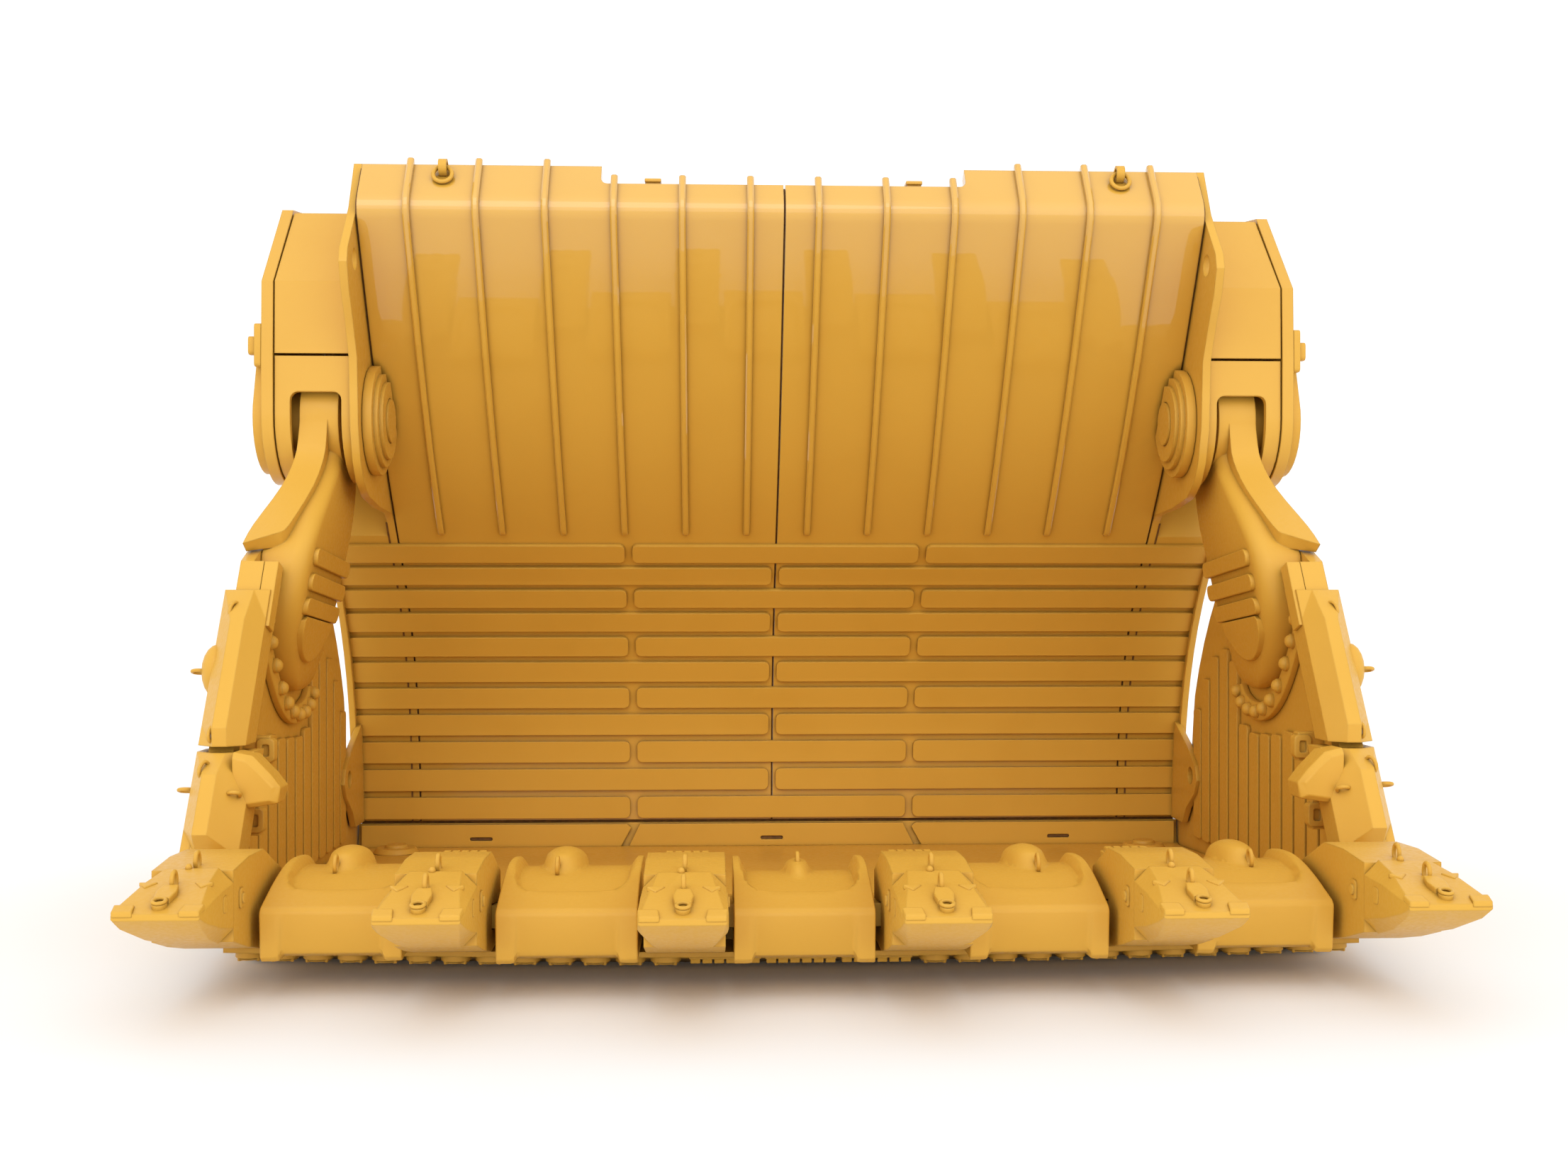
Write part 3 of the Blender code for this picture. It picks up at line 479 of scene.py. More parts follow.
def holed_plate(name, outlines, low, high, body, finish, edge):
    """An upright plate across the bucket, drawn in (x, z), with holes; it fills y from low to high."""
    curve = bpy.data.curves.new(name, 'CURVE')
    curve.dimensions = '2D'
    curve.fill_mode = 'BOTH'
    curve.extrude = (high - low) / 2
    for outline in outlines:
        spline = curve.splines.new('POLY')
        spline.points.add(len(outline) - 1)
        for point, (u, v) in zip(spline.points, outline):
            point.co = (u, v, 0, 1)
        spline.use_cyclic_u = True
    drawn = add_object(name, curve)
    bpy.context.view_layer.update()
    filled = drawn.evaluated_get(bpy.context.evaluated_depsgraph_get())
    mesh = bpy.data.meshes.new_from_object(filled)
    bpy.data.objects.remove(drawn, do_unlink=True)
    bm = bmesh.new()
    bm.from_mesh(mesh)
    bpy.data.meshes.remove(mesh)
    bmesh.ops.remove_doubles(bm, verts=bm.verts, dist=0.00005)
    bmesh.ops.dissolve_limit(bm, angle_limit=0.01, verts=bm.verts, edges=bm.edges)
    turn = Matrix.Rotation(math.radians(90), 4, 'X')
    turn.translation = (0, (low + high) / 2, 0)
    bmesh.ops.transform(bm, matrix=turn, verts=bm.verts)
    return piece(name, bm, body, finish, edge=edge)


# ---------- rear wall

def wall_stations():
    """(run, point, front normal) up the wall's front line, from the heel to the top edge."""
    bend = arc(BEND_CENTRE, BEND_RADIUS, *BEND_TURN, 4)
    line = [Vector(p) for p in lined(WALL_CURVE) + bend[1:] + [WALL_TOP]]
    run, stations = 0.0, []
    for i, point in enumerate(line):
        if i:
            run += (point - line[i - 1]).length
        along = (line[min(i + 1, len(line) - 1)] - line[max(i - 1, 0)]).normalized()
        stations.append((run, point, Vector((-along.y, along.x))))
    return stations


def on_wall(stations, run):
    """Point and front normal at a distance up the wall."""
    for (low, first, normal), (high, second, after) in zip(stations, stations[1:]):
        if run <= high or high == stations[-1][0]:
            share = (run - low) / (high - low)
            return first + share * (second - first), normal.lerp(after, min(share, 1.0)).normalized()


def off_wall(stations, run, outline):
    """An outline of (x, height off the wall) at a distance up the wall."""
    point, normal = on_wall(stations, run)
    return [(x, point.x + normal.x * h, point.y + normal.y * h) for x, h in outline]


def wall_run(stations, height):
    """Distance up the wall to a height."""
    for (low, first, _), (high, second, _) in zip(stations, stations[1:]):
        if second.y >= height:
            return low + (high - low) * (height - first.y) / (second.y - first.y)


def add_rib(bm, stations, x, top):
    """An upright strip that follows the wall and thins out at its foot."""
    wide, tall = sizes().rib_width / 2, sizes().rib_height
    soft = 0.25 * tall
    foot = wall_run(stations, RIB_FOOT)
    thinned = (0.35, 0.8, 1.0)
    runs = [foot, foot + 0.012, foot + 0.03]
    runs += [run for run, _, _ in stations if foot + 0.04 < run < top - 0.01]
    rings = []
    for i, run in enumerate(runs + [top]):
        rise = tall * thinned[i] if i < len(thinned) else tall
        rings.append(off_wall(stations, run, [
            (x - wide, -SUNK), (x - wide, rise - soft), (x + soft - wide, rise), (x + wide - soft, rise),
            (x + wide, rise - soft), (x + wide, -SUNK)]))
    add_loft(bm, rings)


def build_ribs():
    stations = wall_stations()
    full = stations[-1][0]
    for number in range(RIB_COUNT):
        x = (number - (RIB_COUNT - 1) / 2) * sizes().rib_pitch
        bm = bmesh.new()
        top = full - NOTCH_DROP + 0.030 if abs(x) < NOTCH_HALF_WIDTH else full + 0.015
        add_rib(bm, stations, x, top)
        piece(f"wall_rib_{number + 1}", bm, "rear_body", "wall_paint", edge=0)


def add_wear_plate(bm, stations, low_x, high_x, middle):
    """A long plate bent to the wall, with rounded corners."""
    half, thick, corner = sizes().plate_height / 2, sizes().plate_thickness, sizes().plate_corner
    steps = [corner * (1 - math.cos(math.radians(15 * i))) for i in range(7)]
    cuts = [-half + s for s in steps] + [0.0] + [half - s for s in reversed(steps)]
    rings = []
    for cut in cuts:
        into = corner - (half - abs(cut))
        inset = corner - math.sqrt(max(corner ** 2 - max(into, 0.0) ** 2, 0.0))
        near, far = low_x + inset, high_x - inset
        rings.append(off_wall(stations, middle + cut,
                              ((near, -SUNK), (far, -SUNK), (far, thick), (near, thick))))
    add_loft(bm, rings)


def build_wear_plates():
    stations = wall_stations()
    for row in range(PLATE_ROWS):
        middle = FIRST_ROW_RUN + sizes().row_pitch * (PLATE_ROWS - 1 - row)
        gaps = [x for seam in ROW_SEAMS[row % 2] for x in (seam - PLATE_GAP, seam + PLATE_GAP)]
        ends = [-PLATE_REACH, *gaps, PLATE_REACH]
        for number, (low_x, high_x) in enumerate(zip(ends[::2], ends[1::2])):
            bm = bmesh.new()
            add_wear_plate(bm, stations, low_x, high_x, middle)
            piece(f"wear_plate_{row + 1}_{number + 1}", bm, "rear_body", "wear_plate_paint", edge=0.003)


def build_seam_shades():
    """Dark strips of painted shade deep in the wall's seams and under its bottom edge."""
    stations = wall_stations()
    full = stations[-1][0]
    shade_strips = [("middle_seam_shade", 0.0, 0.0045, -0.034, -0.016, full - NOTCH_DROP - 0.010)]
    for label, side in SIDES:
        shade_strips.append((f"wall_seam_shade_{label}", side * WALL_SEAM_X, 0.0045, -0.040, -0.018, full - 0.012))
    for label, side in SIDES:
        shade_strips.append((f"wing_seam_shade_{label}", side * WING_SEAM_X, 0.0050, -0.003, 0.0012,
                      wall_run(stations, 1.920)))
    for name, x, half, low, high, end in shade_strips:
        section = ((x - half, low), (x + half, low), (x + half, high), (x - half, high))
        bm = bmesh.new()
        runs = [run for run, _, _ in stations if run < end - 0.01] + [end]
        add_loft(bm, [off_wall(stations, run, section) for run in runs])
        piece(name, bm, "rear_body", "painted_seam_shade", edge=0)
    bm = bmesh.new()
    heel_line = [(1.782, 0.1885), (1.778, 0.2000), (1.786, 0.2060), (1.810, 0.2060), (1.812, 0.1885)]
    add_prism(bm, heel_line, -2.400, 2.400)
    piece("heel_seam_shade", bm, "rear_body", "painted_seam_shade", edge=0)


def build_top_lugs():
    """Two small capped lugs behind the lowered top edge."""
    lug = [(0.040, 3.470), (0.040, 3.556), (0.110, 3.556), (0.110, 3.440)]
    cap = [(0.030, 3.548), (0.030, 3.566), (0.120, 3.566), (0.120, 3.548)]
    for label, side in SIDES:
        x = side * 0.640
        bm = bmesh.new()
        add_prism(bm, lug, x - 0.034, x + 0.034)
        add_prism(bm, cap, x - 0.040, x + 0.040)
        piece(f"top_lug_{label}", bm, "rear_body", "plate_paint")


def build_pin_retainers():
    """Stepped blocks on the outer housing plates that hold the pivot pins."""
    steps = ((WING_OUTSIDE, 2.566, 0.100, 0.210), (2.566, 2.600, 0.060, 0.090))
    for label, side in SIDES:
        bm = bmesh.new()
        for near, far, width, height in steps:
            add_prism(bm, rounded_box(width, height, 0.018, (0.090, 2.745)), side * near, side * far)
        piece(f"pin_retainer_{label}", bm, "rear_body", "cast_paint")


# ---------- clam arms and sides

def add_arm_bar(bm, side, outline):
    """A raised pad on the arm's slanting inner face, from an outline in (y, z)."""
    add_loft(bm, [[(side * (between(ARM_INSIDE, z) + depth), y, z) for y, z in outline]
                  for depth in (0.025, -0.022)])


def build_arm_bars():
    """Three sloping wear bars on each arm and the curved toe plate below them."""
    slope, height = -0.085, 0.080
    bars = ((-0.300, 0.440, 1.715), (-0.315, 0.430, 1.598), (-0.312, 0.400, 1.485))
    toe = lined([(-0.285, 1.418), (-0.262, 1.350), (-0.170, 1.262), (-0.030, 1.212), (0.130, 1.225),
                 (0.290, 1.325)], 4)
    for label, side in SIDES:
        for number, (front, back, z) in enumerate(bars):
            bm = bmesh.new()
            middle = (front + back) / 2
            add_arm_bar(bm, side, [(middle + u, z + v + (middle + u - front) * slope)
                                   for u, v in rounded_box(back - front, height, 0.036)])
            piece(f"arm_wear_bar_{number + 1}_{label}", bm, "clam", "wear_plate_paint", edge=0.005)
        bm = bmesh.new()
        add_arm_bar(bm, side, [(-0.262, 1.434)] + toe + [(0.300, 1.388)])
        piece(f"arm_toe_plate_{label}", bm, "clam", "wear_plate_paint", edge=0.005)


def build_ball_guards():
    """Horseshoe of ball buttons round the end of each arm."""
    spine = lined([(-0.470, 1.500), (-0.425, 1.380), (-0.335, 1.245), (-0.200, 1.100), (-0.060, 1.005),
                   (0.090, 0.955), (0.240, 0.950), (0.380, 0.985), (0.460, 1.050)], 4)
    last = len(spine) - 1
    count, radius = sizes().ball_count, sizes().ball_radius
    for label, side in SIDES:
        bm = bmesh.new()
        rings = []
        for i, point in enumerate(spine):
            ahead = Vector(spine[min(i + 1, last)]) - Vector(spine[max(i - 1, 0)])
            across = Vector((-ahead.y, ahead.x)).normalized()
            half = 0.047 if 0 < i < last else 0.030
            section = ((2.419, half), (2.388, half), (2.380, half * 0.7))
            section += tuple((x, -w) for x, w in reversed(section))
            rings.append([(side * x, point[0] + across.x * w, point[1] + across.y * w) for x, w in section])
        add_loft(bm, rings)
        piece(f"ball_guard_{label}", bm, "clam", "cast_paint", edge=0.003)
        bm = bmesh.new()
        for number in range(count):
            place = (number + 0.9) / (count + 0.3) * last
            low = int(place)
            y, z = Vector(spine[low]).lerp(Vector(spine[min(low + 1, last)]), place - low)
            add_disc(bm, (side * 2.374, y, z), radius * 1.12, 0.020, (1, 0, 0), 20)
            add_ball(bm, (side * 2.366, y, z), (radius * 0.85, radius, radius))
        piece(f"ball_buttons_{label}", bm, "clam", "button_paint", edge=0)


def build_side_strips():
    """Upright wear strips inside each side plate, with stepped tops on an arc."""
    tops = ((-0.760, 0.740), (-0.590, 0.830), (-0.420, 0.850), (-0.250, 0.880), (-0.080, 0.850),
            (0.090, 0.840), (0.260, 0.830), (0.430, 0.860), (0.600, 1.180), (0.770, 1.240), (0.940, 1.190),
            (1.110, 1.060), (1.270, 0.880))
    width, thick = 0.138, 0.022
    for label, side in SIDES:
        for number, (y, top) in enumerate(tops):
            bm = bmesh.new()
            low = 0.150 + 0.080 * max(0.0, -y)
            outline = rounded_box(width, top - low, 0.024, (y, (low + top) / 2), 3)
            add_prism(bm, outline, side * (SIDE_PLATE_INSIDE + SUNK), side * (SIDE_PLATE_INSIDE - thick))
            piece(f"side_wear_strip_{number + 1}_{label}", bm, "clam", "wear_plate_paint")


def build_lock_bosses():
    """Square cast lugs that face the mouth, each with a square socket."""
    deep = 0.060
    outer, inner = rounded_box(0.080, 0.105, 0.020), rounded_box(0.030, 0.052, 0.008)
    x = 2.320
    for label, side in SIDES:
        for name, y, z in (("upper", -0.700, 0.850), ("lower", -0.880, 0.565)):
            bm = bmesh.new()
            add_loft(bm, [[(side * x + u, y + d, z + v) for u, v in shape]
                          for shape, d in ((outer, deep), (outer, 0.0), (inner, -0.002), (inner, 0.030))])
            low, high, near, far = z - 0.065, z + 0.065, y + 0.012, y + 0.075
            foot = [(near, low), (near, high), (far, high), (far, low)]
            add_prism(bm, foot, side * (x - 0.020), side * (x + 0.110))
            piece(f"lock_boss_{name}_{label}", bm, "clam", "cast_paint", edge=0.005)


def edge_y(z):
    """The side plate's sloping front edge."""
    return between([SIDE_FOOT[::-1], SIDE_TOP[::-1]], z)


def add_loops(bm, loops):
    """Cast lifting loops, each from its centre, axis, stretch and long direction."""
    for centre, axis, stretch, up in loops:
        add_ring(bm, centre, axis, sizes().loop_radius, sizes().loop_wire, stretch, up)


def build_wing_trim():
    """Lifting loops, bumps, plugs and lugs on the wing shrouds, and the heads of the side plates."""
    lean = Vector((0, SIDE_TOP[0] - SIDE_FOOT[0], SIDE_TOP[1] - SIDE_FOOT[1])).normalized()
    lug = [(2.345, 0.885), (2.265, 0.868), (2.190, 0.790), (2.148, 0.735), (2.160, 0.668), (2.345, 0.640)]
    bump = (edge_y(1.2) + 0.085, 1.200)
    for label, side in SIDES:
        bm = bmesh.new()
        outward, level = (1, 0.5 * side, 0), (0, 0.3, 1)
        add_loops(bm, [((side * 2.455, -0.700, 1.470), outward, 1.4, lean),
                       ((side * 2.455, -1.020, 0.955), outward, 1.4, lean),
                       ((side * 2.600, *bump), level, 1.2, (side, 0, 0))])
        add_ball(bm, (side * 2.520, *bump), (0.070, 0.075, 0.120))
        for z in (1.400, 1.345):
            add_disc(bm, (side * WING_OUTSIDE, edge_y(z) + 0.060, z), 0.020, 0.010, (1, 0, 0), 20)
        piece(f"wing_trim_upper_{label}", bm, "clam", "cast_paint", edge=0)
        bm = bmesh.new()
        add_loops(bm, [((side * 2.455, -1.150, 0.815), outward, 1.3, lean),
                       ((side * 2.560, edge_y(0.7) + 0.080, 0.716), level, 1.3, (side, 0, 0)),
                       ((side * 2.330, edge_y(0.7) - 0.060, 0.712), (0, 0.5, 1), 1.3, (-side, -1.2, 0))])
        add_disc(bm, (side * 2.530, edge_y(0.640) + 0.060, 0.640), 0.020, 0.010, (1, 0, 0), 20)
        piece(f"wing_trim_lower_{label}", bm, "clam", "cast_paint", edge=0)
        bm = bmesh.new()
        rings = []
        for back, inset in ((-0.040, 0.030), (-0.018, 0.0), (0.110, 0.0)):
            rings.append([(side * (x + (inset if x < 2.3 else 0)), edge_y(0.720) + back,
                           z + inset * (0.760 - z) * 6) for x, z in lug])
        add_loft(bm, rings)
        piece(f"wing_lug_{label}", bm, "clam", "cast_paint", edge=0.006)
        bm = bmesh.new()
        front = [(edge_y(z), z) for z in (1.400, SIDE_TOP[1])]
        back = [(y + 0.085, z - 0.030) for y, z in reversed(front)]
        add_prism(bm, front + back, side * 2.310, side * 2.374)
        piece(f"side_head_{label}", bm, "clam", "plate_paint")


def build_heel_plates():
    """Three slotted plates on the heel's inner face, and a boss at each end of the floor."""
    top, foot, reach = 0.182, 0.050, 2.395
    shapes = ([(-reach, foot), (-0.885, foot), (-0.825, 0.160), (-0.850, top), (-reach, top)],
              [(-0.840, foot), (0.840, foot), (0.775, top), (-0.775, top)],
              [(0.885, foot), (reach, foot), (reach, top), (0.850, top), (0.825, 0.160)])
    for number, shape in enumerate(shapes):
        middle = ((number - 1) * 1.700, 0.098)
        slot = rounded_box(0.130, 0.020, 0.009, middle)
        holed_plate(f"heel_plate_{number + 1}", [shape, slot], HEEL_FRONT - 0.021, HEEL_FRONT, "clam",
                    "wear_plate_paint", edge=0.003)
        # Painted shade: a dark fill at the bottom of each slot
        bm = bmesh.new()
        add_prism(bm, rounded_box(0.126, 0.016, 0.007, middle), HEEL_FRONT - 0.012, HEEL_FRONT - 0.001, "Y")
        piece(f"heel_slot_shade_{number + 1}", bm, "clam", "painted_seam_shade", edge=0)
    for label, side in SIDES:
        bm = bmesh.new()
        add_disc(bm, (side * 2.150, 1.500, 0.075), 0.130, 0.030, turns=40, top=0.110)
        add_disc(bm, (side * 2.150, 1.500, 0.092), 0.070, 0.030, turns=32, top=0.060)
        piece(f"heel_boss_{label}", bm, "clam", "cast_paint")


# ---------- lip, shrouds and teeth

def sweep(x):
    return LIP_SWEEP * x * x


def lip_top(y):
    return LIP_TOP_BACK + (LIP_BACK - y) * LIP_RISE


def dish(u, y, deep):
    """Depth of the hollow in a shroud's upper face, across it (u from -1 to 1) and along y."""
    along = max(-1.130 - y, 0.0) / 0.590
    return deep * eased(0.0, 0.42, 1.0 - (abs(u) / 0.88) ** 6 - along ** 6)


def hump(across, y, half_width, top):
    """Height of the round hump at the rear of a shroud, steep behind and long in front."""
    crest = -1.175
    reach = 0.10 if y > crest else 0.27
    near = 1.0 - (across / half_width) ** 2 - ((y - crest) / reach) ** 2
    return top * math.sqrt(near) * eased(0.0, 0.4, near) if near > 0 else 0.0


def build_lip_shrouds():
    """Five castings over the lip, dished on top, with legs that reach down at their ends."""
    # Upper line from the rear edge to the front lip; the first point is the foot of the rear face
    upper = [(SHROUD_BACK, 0.352)]
    upper += lined([(-1.128, 0.400), (-1.150, 0.438), (-1.230, 0.455), (-1.380, 0.462), (-1.520, 0.448),
                    (-1.660, 0.415), (-1.780, 0.376), (-1.850, 0.352)], 5)
    steps, clearance = 40, 0.009
    slot, bottom_back = LIP_FRONT - 0.055, -1.400
    for number in range(1, SHROUD_COUNT + 1):
        x = (number - (SHROUD_COUNT + 1) / 2) * TOOTH_PITCH
        back, lean = sweep(x), math.copysign(0.055, x) if x else 0.0
        deep, hump_width, hump_top = (0.040, 0.100, 0.082) if x else (0.062, 0.060, 0.052)
        under = [(bottom_back, lip_top(bottom_back + back) - LIP_THICKNESS - 0.003),
                 (slot, lip_top(slot + back) - LIP_THICKNESS - clearance),
                 (slot, lip_top(slot + back) + clearance),
                 (SHROUD_BACK, lip_top(SHROUD_BACK + back) + 0.003)]
        rings = []
        for i in range(steps + 1):
            u = 2 * i / steps - 1
            across = u * SHROUD_HALF_WIDTH
            top = []
            for y, z in upper:
                hollow = dish(u, y, deep) if z > 0.36 else 0.0
                top.append((y, z - hollow + hump(across - lean, y, hump_width, hump_top)))
            leg = eased(0.70, 0.76, abs(u))
            front = [(-1.866, 0.338), (-1.869, 0.325), (-1.846 - 0.010 * leg, 0.190 - 0.030 * leg),
                     (-1.836, 0.172 - 0.030 * leg), (-1.780, 0.152), (bottom_back, 0.142)]
            rings.append([(x + across, y + back, z) for y, z in top + front + under])
        bm = bmesh.new()
        add_loft(bm, rings)
        obj = piece(f"shroud_casting_{number}", bm, "clam", "cast_paint", smooth=38, edge=0.006)
        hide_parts(f"lip_shroud_{number}")
        bm = bmesh.new()
        y, z = (-1.440, 0.448) if x else (-1.280, 0.440)
        add_loops(bm, [((x + 1.3 * lean, y + back, z), (1, 0, 0), 1.35, (0, 0.25, 1))])
        piece(f"shroud_loop_{number}", bm, "clam", "cast_paint", edge=0)


def tip_top(reach):
    """Height of a tooth's upper face behind its tip edge."""
    return between([(0.0, 0.453), (0.060, 0.475), (0.240, 0.520), (0.420, 0.542), (0.423, 0.532),
                    (0.635, 0.552), (0.845, 0.547), (1.115, 0.430)], reach)


def add_slab(bm, x, start, outline, rise):
    """A raised patch on a tooth's sloping upper face, from an outline in (x, reach)."""
    rings = [[(x + u, start + v, tip_top(v) + h) for u, v in outline] for h in (-0.012, rise)]
    add_loft(bm, rings)


def build_tooth_pads(number, x, start):
    """Square corner pads, small ribs and the raised nose of one tip."""
    nose = [(-0.026, 0.175), (0.026, 0.175), (0.036, 0.120), (0.028, 0.066), (-0.028, 0.066),
            (-0.036, 0.120)]
    bm = bmesh.new()
    for side in (1, -1):
        pad = [(side * a, b) for a, b in ((0.078, -0.004), (0.149, -0.004), (0.154, 0.046), (0.084, 0.046))]
        add_slab(bm, x, start, pad, 0.009)
        rib = [(side * (0.098 + a), b) for a, b in ((-0.034, 0.235), (0.034, 0.235), (0.0, 0.190))]
        add_slab(bm, x, start, rib, 0.005)
    add_slab(bm, x, start, nose, 0.022)
    add_disc(bm, (x, start + 0.046, tip_top(0.046) + 0.002), 0.026, 0.026, (0, -0.25, 1))
    piece(f"tooth_pads_{number}", bm, "clam", "cast_paint", edge=0.004)


def build_tooth_loops(number, x, start):
    """The eye at the nose of one tip, the lifting loops of tip and adapter, and a small stud."""
    bm = bmesh.new()
    add_ring(bm, (x, start + 0.042, tip_top(0.042) + 0.022), (0, -0.25, 1), 0.022, 0.007, up=(0, 1, 0))
    for reach in (0.205, 0.480):
        add_loops(bm, [((x, start + reach, tip_top(reach) + 0.020), (1, 0, 0), 1.3, (0, 0, 1))])
    add_ball(bm, (x - 0.012, start + 0.415, tip_top(0.415) + 0.002), (0.013, 0.015, 0.016))
    piece(f"tooth_loops_{number}", bm, "clam", "cast_paint", edge=0)


def build_tooth_locks(number, x, start):
    """Lock plates on both flanks of one tooth, the rear one with a round plug."""
    bm = bmesh.new()
    for side in (1, -1):
        for reach, z, wide, tall in ((0.300, 0.430, 0.052, 0.062), (0.520, 0.415, 0.060, 0.075)):
            outline = rounded_box(wide, tall, 0.016, (start + reach, z))
            near, far = sorted((side * (TOOTH_HALF_WIDTH - 0.004), side * (TOOTH_HALF_WIDTH + 0.007)))
            add_prism(bm, outline, x + near, x + far)
        plug = (x + side * (TOOTH_HALF_WIDTH + 0.008), start + 0.520, 0.415)
        add_disc(bm, plug, 0.020, 0.014, (1, 0, 0), 20)
    piece(f"tooth_locks_{number}", bm, "clam", "cast_paint", edge=0.003)


def build_chocky_bar(name, x, base, base_half, block, block_half, pitch, count):
    """A wear bar with a row of blocks on it, from two side outlines and their half lengths."""
    bm = bmesh.new()
    add_prism(bm, base, x - base_half, x + base_half)
    for number in range(count):
        middle = x + (number - (count - 1) / 2) * pitch
        add_prism(bm, block, middle - block_half, middle + block_half)
    piece(name, bm, "clam", "button_paint", edge=0.003)


def build_rear_chocky_bar(number, x):
    """A notched wear bar on the lip behind one of the inner teeth."""
    y = -1.440 + sweep(x)
    base = [(y, 0.320), (y, 0.484), (y + 0.060, 0.484), (y + 0.060, 0.320)]
    block = [(y + 0.002, 0.480), (y + 0.006, 0.502), (y + 0.054, 0.502), (y + 0.058, 0.480)]
    build_chocky_bar(f"rear_chocky_bar_{number}", x, base, 0.100, block, 0.0145, 0.036, 5)


def build_tooth_trim():
    for number in range(1, TOOTH_COUNT + 1):
        x = (number - (TOOTH_COUNT + 1) / 2) * TOOTH_PITCH
        start = TIP_REACH + sweep(x)
        build_tooth_pads(number, x, start)
        build_tooth_loops(number, x, start)
        build_tooth_locks(number, x, start)
        if 1 < number < TOOTH_COUNT:
            build_rear_chocky_bar(number, x)


def build_lip_buttons():
    """Round wear buttons with a raised cross, and notched bars, under the lip's ledge."""
    top, foot, line = 0.115, 0.084, -1.524
    radius = sizes().button_radius
    for label, side in SIDES:
        for number in range(13):
            x = side * (0.535 + 0.139 * number)
            bm = bmesh.new()
            y = line + sweep(x)
            add_disc(bm, (x, y, (top + foot) / 2 + 0.002), radius, top - foot - 0.004, turns=32)
            add_disc(bm, (x, y, foot - 0.001), radius - 0.008, 0.006, turns=32)
            for turn in (45, 135):
                along = Vector((math.cos(math.radians(turn)), math.sin(math.radians(turn)), 0))
                across = Vector((-along.y, along.x, 0))
                corners = [along * a + across * b for a, b in ((-1, -0.1), (1, -0.1), (1, 0.1), (-1, 0.1))]
                add_loft(bm, [[(x + c.x * radius * 0.97, y + c.y * radius * 0.97, z) for c in corners]
                              for z in (foot + 0.008, foot - 0.008)])
            piece(f"wear_button_{number + 1}_{label}", bm, "clam", "button_paint", edge=0.003)
    for number in range(3):
        x = (number - 1) * 0.300
        y = line + sweep(x)
        base = [(y - 0.052, top), (y + 0.052, top), (y + 0.052, 0.102), (y - 0.052, 0.102)]
        block = [(y - 0.050, 0.104), (y + 0.050, 0.104), (y + 0.044, foot), (y - 0.044, foot)]
        build_chocky_bar(f"lip_chocky_bar_{number + 1}", x, base, 0.142, block, 0.0195, 0.047, 6)


# ---------- CAD nodes and stage

CAMERA_PLACE = (-0.3519, -8.1918, 1.5675)
CAMERA_YAW = -2.415             # degrees
CAMERA_LENS = 39.2              # millimetres
BACK_GLOW, FRONT_GLOW = 1.12, 1.90
SUN_ENERGY = 0.25
CAST = ("tooth_", "wing_shroud", "lip_", "clam_arm", "ring_clip", "lifting_ring", "pin_guard", "pivot_pin",
        "stick_bracket", "cylinder_bracket")


def finish_nodes():
    """Smooth shading and a finish for every node that comes from the CAD frame."""
    tones = colours()
    for name, node in frame["nodes"].items():
        for layer in ("custom_normal", "sharp_edge"):
            found = node.data.attributes.get(layer)
            if found:
                node.data.attributes.remove(found)
        node.data.polygons.foreach_set("use_smooth", [True] * len(node.data.polygons))
        weld = node.modifiers.new("weld", 'WELD')
        weld.merge_threshold = 0.00005
        split = node.modifiers.new("sharp edges", 'EDGE_SPLIT')
        split.split_angle = math.radians(28)
        if name.startswith("barrel_pin"):
            finish = metal("turned_steel", tuple(tones.steel), 0.30, 90)
        elif name.startswith("cylinder_rod"):
            finish = metal("polished_chrome", tuple(tones.chrome), 0.10, 160)
        elif name.startswith("rear_wall"):
            finish = painted("wall_paint")
        else:
            finish = painted("cast_paint" if name.startswith(CAST) else "plate_paint")
        node.data.materials.clear()
        node.data.materials.append(finish)


def build_floor():
    bm = bmesh.new()
    bmesh.ops.create_grid(bm, x_segments=8, y_segments=8, size=120)
    bmesh.ops.translate(bm, vec=(0, 0, cad_low.z - 0.001), verts=bm.verts)
    mesh = bpy.data.meshes.new("studio_floor")
    bm.to_mesh(mesh)
    bm.free()
    floor = add_object("studio_floor", mesh)
    finish = bpy.data.materials.new("studio_floor")
    finish.use_nodes = True
    shader = finish.node_tree.nodes['Principled BSDF']
    shader.inputs['Base Color'].default_value = (*colours().floor, 1)
    shader.inputs['Roughness'].default_value = 0.9
    shader.inputs['Specular IOR Level'].default_value = 0.1
    mesh.materials.append(finish)


def build_light():
    """A white world that is brighter towards the open front, and a faint soft sun."""
    world = bpy.data.worlds.new("studio")
    world.use_nodes = True
    tree = world.node_tree
    around = new_node(tree, 'ShaderNodeTexCoord').outputs['Generated']
    axes = new_node(tree, 'ShaderNodeSeparateXYZ')
    tree.links.new(around, axes.inputs['Vector'])
    glow = ranged(tree, axes.outputs['Y'], 0.0, -1.0, BACK_GLOW, FRONT_GLOW)
    tree.links.new(glow, tree.nodes['Background'].inputs['Strength'])
    tree.nodes['Background'].inputs['Color'].default_value = (1.0, 1.0, 1.0, 1)
    bpy.context.scene.world = world
    light = bpy.data.lights.new("key_sun", 'SUN')
    light.energy = SUN_ENERGY
    light.angle = math.radians(30)
    sun = add_object("key_sun", light)
    sun.rotation_euler = (math.radians(60), math.radians(-14), 0)


def build_camera():
    view = bpy.data.cameras.new("camera")
    view.sensor_width = 36.0
    view.lens = CAMERA_LENS
    view.clip_end = 400
    camera = add_object("camera", view)
    camera.location = CAMERA_PLACE
    camera.rotation_euler = (math.radians(90), 0, math.radians(CAMERA_YAW))
    bpy.context.scene.camera = camera
    bpy.context.scene.view_settings.view_transform = 'Standard'


# ---------- add-on

